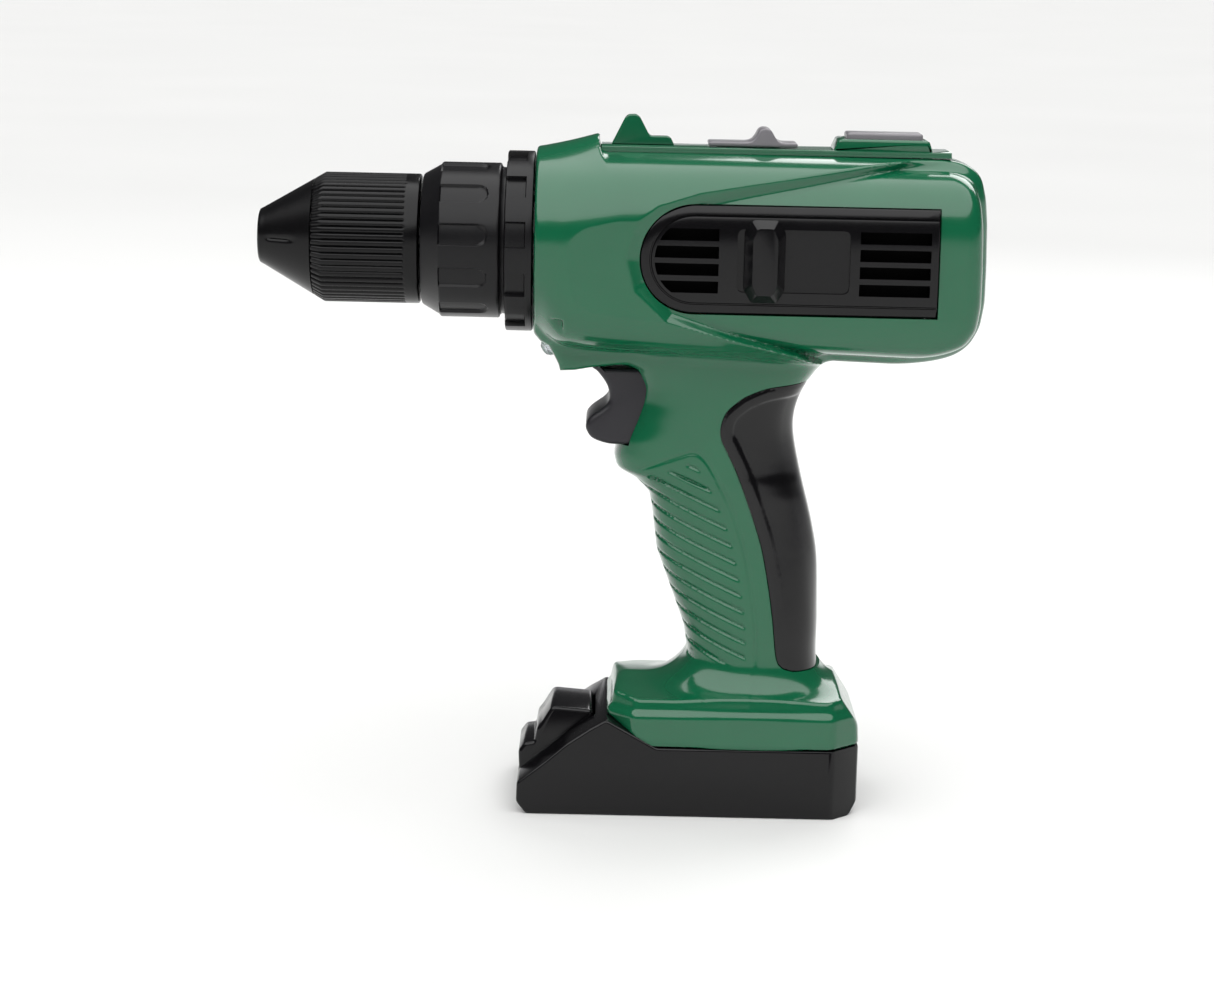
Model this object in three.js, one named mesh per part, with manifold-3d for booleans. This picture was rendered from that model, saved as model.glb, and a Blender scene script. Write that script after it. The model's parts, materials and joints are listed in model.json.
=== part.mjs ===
// Toy power drill: a two-half moulded body with a geared chuck, a click collar, a trigger,
// sliding switches and a battery foot. Millimetres, +Z up. The origin lies on the stand face
// under the handle, X runs from the chuck (-X) to the back of the barrel (+X), the halves
// meet on the plane Y = 0.

import * as THREE from 'three';
import { mergeVertices } from 'three/addons/utils/BufferGeometryUtils.js';
import Module from 'manifold-3d';

const wasm = await Module();
wasm.setup();

// ---------------------------------------------------------------- driving sizes

const axisHeight = 162.5;       // chuck axis over the stand face
const barrelFront = -47;        // front face of the housing
const barrelBack = 81.3;        // back face of the housing
const barrelHalf = 28;          // half width of the barrel
const wall = 2.2;               // moulded wall
const seam = 0.3;               // gap between neighbouring pieces
const running = 0.4;            // radial gap where a piece turns or slides

const handleHalf = 18.6;        // half width of the handle
const gripTop = 65.5;           // the finger rest lies this far under the chuck axis
const footTop = 38;             // the handle meets the foot here
const footHalf = 26;            // half width of foot and battery case
const footFloor = 20.6;         // lower edge of the green skirt
const footFront = -24.1;
const footBack = 49.3;

const noseTip = -126;           // front rim of the chuck
const noseRim = 7.9;            // radius of that rim
const sleeveFront = -110;
const sleeveBack = -79.7;
const sleeveRadius = 18.5;
const ribCount = 24;
const ribDepth = 0.6;
const socketFlats = 9.8;        // across flats, for the bit's hexagon
const socketDepth = 23;
const shaftRadius = 4;

const collarFront = -79;
const collarRadius = 22.1;
const ringRadius = 25.7;
const ringFront = -55.1;
const lobeCount = 11;           // scallops on the collar, and pockets on its ring
const spigotRadius = 13;        // the housing's nose that the collar turns on
const spigotFront = -72;

const gearModule = 0.75;
const smallTeeth = 10;
const bigTeeth = 30;
const gearFace = 5;
const gearboxFront = -16;
const axleRadius = 1.4;
const motorRadius = 10;
const motorLength = 25;

const panelFront = -17.1;
const panelLength = 82.9;
const panelHeight = 30.1;
const panelDepth = 3.2;
const panelRise = -1.65;        // panel centre over the chuck axis
const sliderTravel = 12;

const railFront = -28.6;
const railLength = 98.7;
const railHalf = 9;
const railRise = 28.2;          // top of the rail over the chuck axis
const speedTravel = 6;
const buttonTravel = 1;

const triggerHalf = 12;
const triggerTravel = 5;

const cellRadius = 7.25;        // AA cell
const cellLength = 50.5;
const screwRadius = 1.1;
const postRadius = 3.3;

const up = (rise) => axisHeight + rise;

// Heights on the handle are given as a drop under the chuck axis. Down to the finger rest they
// hang from the barrel, and below it they share out the length that is left to the foot.
const nominalDrop = 124.5;
function level(drop) {
  if (drop <= gripTop) return axisHeight - drop;
  const share = (drop - gripTop) / (nominalDrop - gripTop);
  return THREE.MathUtils.lerp(axisHeight - gripTop, footTop, share);
}

// ---------------------------------------------------------------- solids from geometry

// Six times the volume inside a triangle list, negative where its faces point inwards.
function signedVolume(position, index) {
  let sum = 0;
  for (let i = 0; i < index.length; i += 3) {
    const [a, b, c] = [0, 1, 2].map((k) => new THREE.Vector3().fromArray(position, 3 * index[i + k]));
    sum += a.dot(b.cross(c));
  }
  return sum;
}

// A closed three.js geometry as a solid. Turned and extruded shapes may wind either way.
function solid(geometry) {
  const bare = geometry.index ? geometry.toNonIndexed() : geometry.clone();
  bare.deleteAttribute('normal');
  bare.deleteAttribute('uv');
  const merged = mergeVertices(bare, 1e-4);
  const vertProperties = Float32Array.from(merged.attributes.position.array);
  const triVerts = Uint32Array.from(merged.index.array);
  if (signedVolume(vertProperties, triVerts) < 0) triVerts.reverse();
  return new wasm.Manifold(new wasm.Mesh({ numProp: 3, vertProperties, triVerts }));
}

function geometryOf(body) {
  const { numProp, vertProperties, triVerts } = body.getMesh();
  const position = new Float32Array((vertProperties.length / numProp) * 3);
  for (let i = 0; i < position.length / 3; i++) {
    for (let k = 0; k < 3; k++) position[3 * i + k] = vertProperties[numProp * i + k];
  }
  const geometry = new THREE.BufferGeometry();
  geometry.setAttribute('position', new THREE.BufferAttribute(position, 3));
  geometry.setIndex(new THREE.BufferAttribute(Uint32Array.from(triVerts), 1));
  geometry.computeVertexNormals();
  return geometry;
}

const cut = (body, ...tools) => tools.reduce((left, tool) => left.subtract(tool), body);
const join = (...bodies) => bodies.reduce((sum, body) => sum.add(body));

function box(x0, x1, y0, y1, z0, z1) {
  const geometry = new THREE.BoxGeometry(x1 - x0, y1 - y0, z1 - z0);
  return solid(geometry.translate((x0 + x1) / 2, (y0 + y1) / 2, (z0 + z1) / 2));
}

// A rod along X through (y, z).
function rodX(radius, x0, x1, y, z, sides = 24) {
  const geometry = new THREE.CylinderGeometry(radius, radius, x1 - x0, sides);
  return solid(geometry.rotateZ(Math.PI / 2).translate((x0 + x1) / 2, y, z));
}

function rodY(radius, y0, y1, x, z, sides = 16) {
  const geometry = new THREE.CylinderGeometry(radius, radius, y1 - y0, sides);
  return solid(geometry.translate(x, (y0 + y1) / 2, z));
}

function rodZ(radius, z0, z1, x, y, sides = 16) {
  const geometry = new THREE.CylinderGeometry(radius, radius, z1 - z0, sides);
  return solid(geometry.rotateX(Math.PI / 2).translate(x, y, (z0 + z1) / 2));
}

// A body turned about the chuck axis from [x, radius] pairs.
function turned(profile, sides = 32) {
  const points = profile.map(([x, radius]) => new THREE.Vector2(radius, x));
  const geometry = new THREE.LatheGeometry(points, sides);
  return solid(geometry.rotateZ(-Math.PI / 2).translate(0, 0, axisHeight));
}

const tubeProfile = (x0, x1, inner, outer) => [
  [x0, inner], [x0, outer], [x1, outer], [x1, inner], [x0, inner],
];

// A side-view outline of [x, z] points carried from y0 to y1, with its two rims bevelled inwards.
function slab(points, y0, y1, bevel = 0) {
  const shape = new THREE.Shape(points.map(([x, z]) => new THREE.Vector2(x, z)));
  return slabOf(shape, y0, y1, bevel);
}

function slabOf(shape, y0, y1, bevel = 0) {
  const geometry = new THREE.ExtrudeGeometry(shape, {
    depth: y1 - y0 - 2 * bevel, steps: 1, curveSegments: 8, bevelEnabled: bevel > 0,
    bevelThickness: bevel, bevelSize: bevel, bevelOffset: -bevel, bevelSegments: 1,
  });
  return solid(geometry.rotateX(Math.PI / 2).translate(0, y1 - bevel, 0));
}

// A front-view outline of [y, z] points carried from x0 to x1.
function bar(points, x0, x1) {
  const shape = new THREE.Shape(points.map(([y, z]) => new THREE.Vector2(y, z)));
  const geometry = new THREE.ExtrudeGeometry(shape, {
    depth: x1 - x0, steps: 1, bevelEnabled: false,
  });
  geometry.applyMatrix4(new THREE.Matrix4().set(
    0, 0, 1, x0,
    1, 0, 0, 0,
    0, 1, 0, 0,
    0, 0, 0, 1,
  ));
  return solid(geometry);
}

// A plan outline of [x, y] points carried from z0 to z1.
function tower(points, z0, z1) {
  const shape = new THREE.Shape(points.map(([x, y]) => new THREE.Vector2(x, y)));
  const geometry = new THREE.ExtrudeGeometry(shape, { depth: z1 - z0, steps: 1, bevelEnabled: false });
  return solid(geometry.translate(0, 0, z0));
}

// A long rectangle in plan with its corners cut off.
function octagon(x0, x1, half, corner) {
  return [
    [x0, -half + corner], [x0 + corner, -half], [x1 - corner, -half], [x1, -half + corner],
    [x1, half - corner], [x1 - corner, half], [x0 + corner, half], [x0, half - corner],
  ];
}

// A closed skin over rings: place(station, angle) gives the point of a ring.
function loft(stationCount, sides, place) {
  const geometry = new THREE.CylinderGeometry(1, 1, 1, sides, stationCount - 1);
  const { position } = geometry.attributes;
  const point = new THREE.Vector3();
  const middle = new THREE.Vector3();
  for (let i = 0; i < position.count; i++) {
    point.fromBufferAttribute(position, i);
    const station = Math.round((0.5 - point.y) * (stationCount - 1));
    const radius = Math.hypot(point.x, point.z);
    if (radius < 0.5) {
      middle.copy(place(station, 0)).add(place(station, Math.PI)).multiplyScalar(0.5);
      position.setXYZ(i, middle.x, middle.y, middle.z);
    } else {
      const angle = Math.atan2(point.x, point.z);
      point.copy(place(station, angle));
      position.setXYZ(i, point.x, point.y, point.z);
    }
  }
  return solid(geometry);
}

// A coil spring along +X from the origin.
function coilSpring(radius, wire, turns, length) {
  const steps = 7 * turns;
  const points = [];
  for (let i = 0; i <= steps; i++) {
    const angle = (i / steps) * turns * 2 * Math.PI;
    points.push(new THREE.Vector3((i / steps) * length, radius * Math.cos(angle), radius * Math.sin(angle)));
  }
  const section = new THREE.Shape().absarc(0, 0, wire, 0, 2 * Math.PI, false);
  return new THREE.ExtrudeGeometry(section, {
    steps, curveSegments: 2, extrudePath: new THREE.CatmullRomCurve3(points), bevelEnabled: false,
  });
}

// A rounded square: |a|^n + |b|^n = 1, walked by its angle.
function rounded(angle, n) {
  const c = Math.cos(angle);
  const s = Math.sin(angle);
  return [
    Math.sign(c) * Math.abs(c) ** (2 / n),
    Math.sign(s) * Math.abs(s) ** (2 / n),
  ];
}

// Barrel rings: [x, top, bottom, half width, squareness], heights from the chuck axis.
const barrelRings = [
  [barrelFront, 26.3, -25.9, 26.1, 2],
  [-33, 30.6, -28.3, barrelHalf, 2.5],
  [-29.5, 31.3, -28.6, barrelHalf, 2.7],
  [-27, 28.8, -28.8, barrelHalf, 2.8],
  [-22, 27.2, -29, barrelHalf, 3],
  [30, 26.8, -31.6, barrelHalf, 3],
  [barrelBack - 24, 26.4, -32, barrelHalf, 3],
  [barrelBack - 16, 25.8, -31.4, 27.4, 3],
  [barrelBack - 9, 24.4, -28.4, 25.6, 2.9],
  [barrelBack - 5, 20.4, -24.4, 23, 2.8],
  [barrelBack - 2.2, 15.2, -20, 19.6, 2.7],
  [barrelBack, 3, -14, 12.5, 2.5],
];

function barrel(inset) {
  return loft(barrelRings.length, 26, (station, angle) => {
    const [x, top, bottom, half, n] = barrelRings[station];
    const [a, b] = rounded(angle, n);
    const middle = (top + bottom) / 2;
    const tall = (top - bottom) / 2 - inset;
    const clampedX = THREE.MathUtils.clamp(x, barrelFront + inset, barrelBack - inset);
    return new THREE.Vector3(clampedX, a * (half - inset), up(middle + b * tall));
  });
}

// Handle rings: [drop under the axis, front x, back x, half width].
const handleRings = [
  [20, -25, 38.4, handleHalf],
  [31, -23, 38.2, handleHalf],
  [36, -19.6, 32.8, handleHalf],
  [40, -17.4, 30.4, handleHalf],
  [49.8, -19.8, 27.8, handleHalf],
  [54.8, -22, 28.6, handleHalf],
  [60.5, -23.2, 29.8, handleHalf],
  [64.5, -22.6, 30.8, handleHalf],
  [gripTop, -19, 31.1, handleHalf],
  [70.7, -12.5, 32.4, handleHalf - 0.2],
  [75.8, -11.8, 33.9, handleHalf - 0.5],
  [88, -10.3, 36.5, handleHalf - 0.6],
  [110.5, -1.8, 37.2, handleHalf],
  [118, -0.6, 36.6, handleHalf],
  [nominalDrop, -4, 38, handleHalf + 1],
  [nominalDrop + 3, -6, 40, handleHalf + 1],
];
const handleSquareness = 2.7;

function handle(inset) {
  return loft(handleRings.length, 20, (station, angle) => {
    const [drop, front, back, half] = handleRings[station];
    const [a, b] = rounded(angle, handleSquareness);
    const middle = (front + back) / 2;
    const long = (back - front) / 2 - inset;
    return new THREE.Vector3(middle + b * long, a * (half - inset), level(drop));
  });
}

// ---------------------------------------------------------------- materials and nodes

const drill = new THREE.Group();
drill.name = 'toy_power_drill';

const look = (color, roughness, metalness = 0) => () => (
  new THREE.MeshStandardMaterial({ color, roughness, metalness })
);
const green = look(0x0f5a3a, 0.28);
const black = look(0x141416, 0.22);
const satinBlack = look(0x1a1a1c, 0.42);
const grey = look(0x77777c, 0.35);
const white = look(0xe8e6df, 0.4);
const amber = look(0xc9a86a, 0.45);
const steel = look(0xb8babd, 0.3, 1);
const brass = look(0xc7a352, 0.35, 1);
const clear = look(0xe6edf2, 0.08);
const board = look(0x1d6b3c, 0.5);
const wireRed = look(0xb02020, 0.45);

function node(name, body, material) {
  const mesh = new THREE.Mesh(geometryOf(body), material());
  mesh.name = name;
  drill.add(mesh);
  return mesh;
}

// ---------------------------------------------------------------- chuck

const hexRadius = socketFlats / Math.sqrt(3);
const holderFront = noseTip + 9;
const holderRadius = 9;
const holderBack = noseTip + 28;
const gearboxBore = shaftRadius + running;

function hexHole(x0, x1) {
  const geometry = new THREE.CylinderGeometry(hexRadius, hexRadius, x1 - x0, 6);
  return solid(geometry.rotateZ(Math.PI / 2).translate((x0 + x1) / 2, 0, axisHeight));
}

// The cone's flank, which the front of the sleeve carries on.
const coneEnd = sleeveFront + 3.1;
const coneAt = (x) => THREE.MathUtils.mapLinear(x, noseTip + 0.8, coneEnd, noseRim, sleeveRadius);

{
  const cone = turned([
    [noseTip, 0], [noseTip, noseRim - 0.9], [noseTip + 0.8, noseRim],
    [sleeveFront - seam, coneAt(sleeveFront - seam)], [sleeveFront - seam, 0],
  ], 24);
  const inside = turned([
    [holderFront - seam, 0], [holderFront - seam, holderRadius + seam],
    [sleeveFront, holderRadius + seam], [sleeveFront, 0],
  ], 16);
  const slits = [0, 1, 2].map((i) => (
    solid(new THREE.BoxGeometry(10, 1.6, 3)
      .rotateY(-Math.PI / 5).translate(noseTip + 4, 0, noseRim + 3.2)
      .rotateX((i * 2 * Math.PI) / 3 + Math.PI / 2).translate(0, 0, axisHeight))
  ));
  node('nose_cone', cut(cone, inside, hexHole(noseTip - 1, holderFront), ...slits), black);

  const holder = rodX(holderRadius, holderFront, holderBack, 0, axisHeight, 24);
  const socket = hexHole(holderFront - 1, noseTip + socketDepth);
  const seat = rodX(shaftRadius + 0.1, holderBack - 4, holderBack + 1, 0, axisHeight, 20);
  node('bit_holder', cut(holder, socket, seat), steel);

  const ribs = [];
  for (let i = 0; i < ribCount; i++) {
    for (const [share, radius] of [[-0.28, sleeveRadius], [0.28, sleeveRadius],
      [0.36, sleeveRadius - ribDepth], [0.64, sleeveRadius - ribDepth]]) {
      const angle = ((i + share) / ribCount) * 2 * Math.PI;
      ribs.push([radius * Math.cos(angle), up(radius * Math.sin(angle))]);
    }
  }
  const bandFront = sleeveBack - 3.9;
  const blank = turned([
    [sleeveFront, holderRadius + seam], [sleeveFront, coneAt(sleeveFront)],
    [coneEnd, sleeveRadius + 0.5], [bandFront, sleeveRadius + 0.5],
    [bandFront, holderRadius + seam], [sleeveFront, holderRadius + seam],
  ], 24);
  const band = turned(tubeProfile(bandFront - 0.5, sleeveBack, holderRadius + seam, sleeveRadius), 24);
  const endWall = turned(
    tubeProfile(holderBack + seam, holderBack + 3, shaftRadius + 0.1, sleeveRadius - 1), 24,
  );
  node('chuck_sleeve', join(bar(ribs, sleeveFront, bandFront).intersect(blank), band, endWall), black);
}

// ---------------------------------------------------------------- drive train

// A spur gear about an axis along X: four points to a tooth, thinned for backlash. The first
// tooth, or the first gap, points along +Z.
function gear(teeth, x0, x1, z, bore, gapFirst, turn = 0) {
  const pitch = (gearModule * teeth) / 2;
  const tip = pitch + 0.85 * gearModule;
  const root = pitch - 1.2 * gearModule;
  const points = [];
  for (let i = 0; i < teeth; i++) {
    for (const [share, radius] of [[-0.3, root], [-0.1, tip], [0.1, tip], [0.3, root]]) {
      const angle = Math.PI / 2 + ((i + share + (gapFirst ? 0.5 : 0)) / teeth) * 2 * Math.PI + turn;
      points.push([radius * Math.cos(angle), z + radius * Math.sin(angle)]);
    }
  }
  return cut(bar(points, x0, x1), rodX(bore, x0 - 1, x1 + 1, 0, z, 20));
}

const centres = (gearModule * (smallTeeth + bigTeeth)) / 2;
const idlerHeight = axisHeight - centres;
const bigTip = (gearModule * bigTeeth) / 2 + 0.85 * gearModule;
const outputFront = gearboxFront + 3;
const outputBack = outputFront + gearFace;
const idlerStep = outputBack + 1;
const idlerBack = idlerStep + gearFace;
const gearboxBack = idlerBack + 2;
const coverThick = 2;
const motorFront = gearboxBack + coverThick + seam;
const motorBack = motorFront + motorLength;
const shaftBack = outputBack + 0.2;
const caseRadius = bigTip + running + 1.4;

// The gearbox outline is two arcs round the two gear axes.
function stadium(radius) {
  const arc = (z, start) => [...Array(13).keys()].map((i) => {
    const angle = start + (i / 12) * Math.PI;
    return [radius * Math.cos(angle), z + radius * Math.sin(angle)];
  });
  return [...arc(axisHeight, 0), ...arc(idlerHeight, Math.PI)];
}

{
  node('drive_shaft', rodX(shaftRadius, holderBack - 3.8, shaftBack, 0, axisHeight, 20), steel);
  node('output_gear', gear(bigTeeth, outputFront, outputBack, axisHeight, shaftRadius + 0.1, false), white);
  const small = gear(smallTeeth, outputFront - 0.4, idlerStep + 0.5, idlerHeight, axleRadius + 0.1, true);
  const big = gear(bigTeeth, idlerStep, idlerBack, idlerHeight, axleRadius + 0.1, false);
  node('idler_gear', join(small, big), white);
  node('idler_axle', rodX(axleRadius, gearboxFront + 0.2, gearboxBack + 1.6, 0, idlerHeight, 20), steel);
  node('motor_pinion', gear(smallTeeth, idlerStep - 0.2, idlerBack + 0.2, axisHeight, 1.1, true), white);
  const rotorShaft = turned([
    [idlerStep, 0], [idlerStep, 1], [motorFront + 4, 1], [motorFront + 4, 6.6],
    [motorBack - 5, 6.6], [motorBack - 5, 1], [motorBack + 0.8, 1], [motorBack + 0.8, 0],
  ], 20);
  node('motor_rotor', rotorShaft, steel);

  const flats = box(motorFront, motorBack, -motorRadius, motorRadius, up(-7.6), up(7.6));
  const can = rodX(motorRadius, motorFront, motorBack, 0, axisHeight, 28).intersect(flats);
  const insideFlats = box(motorFront + 1.2, motorBack + 1, -9, 9, up(-6.9), up(6.9));
  const bore = rodX(8.8, motorFront + 1.2, motorBack + 1, 0, axisHeight, 28).intersect(insideFlats);
  node('motor_can', cut(can, bore, rodX(1.4, motorFront - 1, motorFront + 2, 0, axisHeight)), steel);
  const capPlate = rodX(motorRadius, motorBack + seam, motorBack + 3, 0, axisHeight, 28)
    .intersect(box(motorBack, motorBack + 5, -motorRadius, motorRadius, up(-7.6), up(7.6)));
  node('motor_end_cap', cut(capPlate, rodX(1.4, motorBack - 1, motorBack + 2, 0, axisHeight)), white);

  const room = bar(stadium(bigTip + running), gearboxFront + 2, gearboxBack + 1);
  const shell = cut(
    bar(stadium(caseRadius), gearboxFront, gearboxBack), room,
    rodX(gearboxBore, gearboxFront - 1, gearboxFront + 3, 0, axisHeight, 20),
    rodX(axleRadius + 0.1, gearboxFront - 1, gearboxFront + 3, 0, idlerHeight, 20),
  );
  node('gearbox_case', shell, amber);
  const coverBody = cut(
    bar(stadium(caseRadius), gearboxBack + 0.1, gearboxBack + coverThick),
    rodX(2.2, gearboxBack, gearboxBack + 3, 0, axisHeight, 20),
    rodX(axleRadius + 0.1, gearboxBack, gearboxBack + 3, 0, idlerHeight, 20),
  );
  node('gearbox_cover', coverBody, amber);
}

// ---------------------------------------------------------------- housing halves

const bushingOuter = 7;
const bushingLength = 8;
const spigotBore = bushingOuter + 0.1;
const frontBushing = spigotFront + 1;
const rearBushing = barrelFront + 2;

const panelTop = panelRise + panelHeight / 2;
const panelBottom = panelRise - panelHeight / 2;

// The panel outline: a round front end and a square back.
function panelShape(grow, length = panelLength) {
  const radius = panelHeight / 2 + grow;
  const shape = new THREE.Shape();
  const centre = panelFront + panelHeight / 2;
  const middle = up(panelRise);
  shape.moveTo(panelFront + length + grow, middle - radius);
  shape.lineTo(panelFront + length + grow, middle + radius);
  shape.lineTo(centre, middle + radius);
  shape.absarc(centre, middle, radius, Math.PI / 2, 1.5 * Math.PI, false);
  return shape;
}

const chinFloor = 34.6;         // underside of the chin, below the axis
const chinOutline = [
  [barrelFront + 0.5, up(-25.9)], [-42.6, up(-28.4)], [-40.9, up(-31.3)], [-39.6, up(-33.4)],
  [-39.2, up(-chinFloor - 1.2)], [-35, up(-chinFloor - 0.8)], [-31, up(-chinFloor)],
  [-14, up(-chinFloor + 2)], [-14, up(-18)], [barrelFront + 0.5, up(-18)],
];

const gripOutline = [
  [34, 35], [20.7, 38.8], [11.6, 42.8], [8.5, 45.7], [7.1, 49.5], [7.2, 53.2], [8.9, 56.9],
  [12.2, 63.8], [16.9, 76.3], [19.7, 85.1], [21.8, 95.3], [23.4, 105.5], [24.7, 116.3],
  [26.4, 119.5], [29.6, 121.4], [46, 122], [46, 35],
];
const gripThick = 2;
const gripPoints = (grow) => gripOutline.map(([x, drop]) => [x - grow, level(drop)]);

// Screw posts: [x, height]
const posts = [
  [-37, up(20)], [24, up(20.6)], [barrelBack - 12.5, up(18.6)], [barrelBack - 14, up(-22.5)],
  [-4.5, level(75)], [28, level(110)], [-12, footTop - 8], [footBack - 10, footTop - 8],
];

const ledSpot = new THREE.Vector3(-41.9, 0, up(-29.8));
const ledTilt = new THREE.Vector3(-0.8, 0, -0.6);

// A body turned about the LED's own axis, which looks forwards and down.
function onLedAxis(profile, sides = 12) {
  const geometry = new THREE.LatheGeometry(profile.map(([r, a]) => new THREE.Vector2(r, a)), sides);
  const turn = new THREE.Quaternion().setFromUnitVectors(new THREE.Vector3(0, 1, 0), ledTilt);
  geometry.applyQuaternion(turn).translate(ledSpot.x, ledSpot.y, ledSpot.z);
  return solid(geometry);
}

const footOutline = [
  [footFront + 0.3, 31.9], [footFront + 1.8, 34.8], [footFront + 6.5, footTop + 0.5],
  [footBack - 12, footTop + 1], [footBack - 6.5, 35.6], [footBack - 0.5, 24.2],
  [footBack, footFloor], [-8.9, footFloor], [footFront + 0.6, 29.2],
];
const footBevel = 2;
const footCorner = 7;           // corners cut off the foot in plan

const railBottom = railRise - 1.9;
const speedSlot = [-8.5, 34];
const padFront = 40.6;
const padBack = 62.2;

function housing() {
  const foot = slab(footOutline, -footHalf, footHalf, footBevel)
    .intersect(tower(octagon(footFront, footBack, footHalf, footCorner), 0, axisHeight));
  const outer = join(barrel(0), handle(0), slab(chinOutline, -14, 14, 2.5), foot);
  const handleInset = gripThick + wall;
  const footRoom = box(
    footFront + 8, footBack - 4, -footHalf + 4.4, footHalf - 4.4, footFloor - 1, footTop - 2.6,
  );
  const gearRoom = bar(stadium(caseRadius + seam), gearboxFront - seam, gearboxBack + coverThick + seam);
  const rooms = join(barrel(wall), handle(handleInset), footRoom, gearRoom);
  let body = outer.subtract(rooms);

  // Posts for the housing screws run across the inside.
  for (const [x, z] of posts) {
    body = body.add(rodY(postRadius, -footHalf, footHalf, x, z, 8).intersect(outer));
  }

  // The spigot carries the collar outside and the two bushings inside.
  const spigot = turned([
    [spigotFront, 0], [spigotFront, spigotRadius], [barrelFront + 8, spigotRadius],
    [barrelFront + 8, 0],
  ], 22);
  body = body.add(spigot);
  const shaftRoom = turned([
    [spigotFront - 1, 0], [spigotFront - 1, spigotBore], [frontBushing + bushingLength + 0.1, spigotBore],
    [frontBushing + bushingLength + 0.1, shaftRadius + 1], [rearBushing - 0.1, shaftRadius + 1],
    [rearBushing - 0.1, spigotBore], [barrelFront + 9, spigotBore], [barrelFront + 9, 0],
  ], 16);
  body = body.subtract(shaftRoom);

  // Openings: side panels, top rail, trigger, LED, rear grip.
  const panelHole = slabOf(panelShape(seam), -barrelHalf - 4, -barrelHalf + 6);
  const panelHoleRight = slabOf(panelShape(seam), barrelHalf - 6, barrelHalf + 4);
  const railSeat = box(
    railFront - seam, railFront + railLength + seam,
    -railHalf - seam, railHalf + seam, up(railBottom), up(40),
  );
  const railWell = box(speedSlot[0], padBack + 3, -6, 6, up(20), up(40));
  const triggerSlot = box(-50, 0, -triggerHalf - running, triggerHalf + running,
    level(57.2), up(-chinFloor + 0.2));
  const ledHole = onLedAxis([[0, -14], [3.1, -14], [3.1, 6], [0, 6], [0, -14]]);
  const gripRegion = slab(gripPoints(seam), -30, 30);
  const gripSeat = gripRegion.subtract(handle(gripThick + seam));
  body = cut(body, panelHole, panelHoleRight, railSeat, railWell, triggerSlot, ledHole, gripSeat);
  return body;
}

const whole = housing();
const far = 200;
const screwSeat = 9;            // the screw heads sit this far from the middle plane

{
  let left = whole.intersect(box(-far, far, -far, -seam / 2, -far, 2 * far));
  let right = whole.intersect(box(-far, far, seam / 2, far, -far, 2 * far));
  for (const [x, z] of posts) {
    left = left.subtract(rodY(screwRadius + 0.3, -10, 0, x, z, 6));
    right = cut(right,
      rodY(screwRadius + 0.4, 0, screwSeat + 1, x, z, 8),
      rodY(2.6, screwSeat, barrelHalf + 2, x, z, 10));
  }
  node('left_shell', left, green);
  node('right_shell', right, green);

  posts.forEach(([x, z], i) => {
    const head = new THREE.LatheGeometry([
      [0, -8.6], [screwRadius, -8], [screwRadius, screwSeat + seam],
      [2.3, screwSeat + seam], [2.1, screwSeat + 1.8], [0, screwSeat + 2.1],
    ].map(([r, y]) => new THREE.Vector2(r, y)), 8);
    node(`housing_screw_${i + 1}`, solid(head.translate(x, 0, z)), steel);
  });

  const ringBushing = (x0) => (
    turned(tubeProfile(x0, x0 + bushingLength, shaftRadius + 0.1, bushingOuter), 16)
  );
  node('front_bushing', ringBushing(frontBushing), brass);
  node('rear_bushing', ringBushing(rearBushing), brass);

  const region = slab(gripPoints(0), -30, 30);
  const skin = cut(handle(0), handle(gripThick), barrel(seam)).intersect(region);
  node('rear_grip', skin, satinBlack);
}

// ---------------------------------------------------------------- torque collar

{
  const bore = spigotRadius + running;
  const back = barrelFront - running;
  const blank = turned([
    [collarFront, bore], [collarFront, sleeveRadius + 0.2], [collarFront + 6.5, collarRadius],
    [ringFront - 1.8, collarRadius], [ringFront - 0.9, collarRadius - 1.2],
    [ringFront, ringRadius - 0.5], [ringFront + 0.6, ringRadius], [back, ringRadius],
    [back, bore], [collarFront, bore],
  ], 22);
  const cuts = [];
  for (let i = 0; i < lobeCount; i++) {
    const turn = ((i + 0.5) / lobeCount) * 2 * Math.PI;
    const pocket = new THREE.BoxGeometry(5.8, 5.2, 2.6).translate(ringFront + 2.8, 0, ringRadius);
    const scallop = new THREE.BoxGeometry(13.6, 6.2, 1.4).translate(collarFront + 11.9, 0, collarRadius);
    for (const geometry of [pocket, scallop]) {
      cuts.push(solid(geometry.rotateX(turn).translate(0, 0, axisHeight)));
    }
  }
  node('torque_collar', cut(blank, ...cuts), black);
}

// ---------------------------------------------------------------- side panels and direction slider

const blockFront = panelFront + 28.8;
const blockLength = 11.3;
const blockHeight = 23.1;
const trackHalf = 8.75;
const panelFace = barrelHalf - 0.3;

function ventPanel(side) {
  const body = slabOf(panelShape(0), panelFace - panelDepth, panelFace);
  const slots = [];
  const slotHeight = 3;
  const slotDepth = 1.6;
  const frontSlotEnd = 21.7;
  const rearSlots = [60.9, 80.6];
  const pitch = 5;
  for (let i = 0; i < 4; i++) {
    const z = up(panelRise + (1.5 - i) * pitch - 0.3);
    const inFront = Math.abs(i - 1.5) > 1 ? 6 : 4;
    for (const [x0, x1] of [[inFront, frontSlotEnd], rearSlots]) {
      slots.push(box(panelFront + x0, panelFront + x1, panelFace - slotDepth, panelFace + 1,
        z - slotHeight / 2, z + slotHeight / 2));
    }
  }
  const trackBack = blockFront + blockLength + sliderTravel + 6;
  const track = box(blockFront - 2, trackBack, panelFace - 1, panelFace + 1,
    up(panelRise - trackHalf - 0.2), up(panelRise + trackHalf + 0.2));
  const cutBody = cut(body, ...slots, track);
  return side < 0 ? cutBody.mirror([0, 1, 0]) : cutBody;
}

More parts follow.
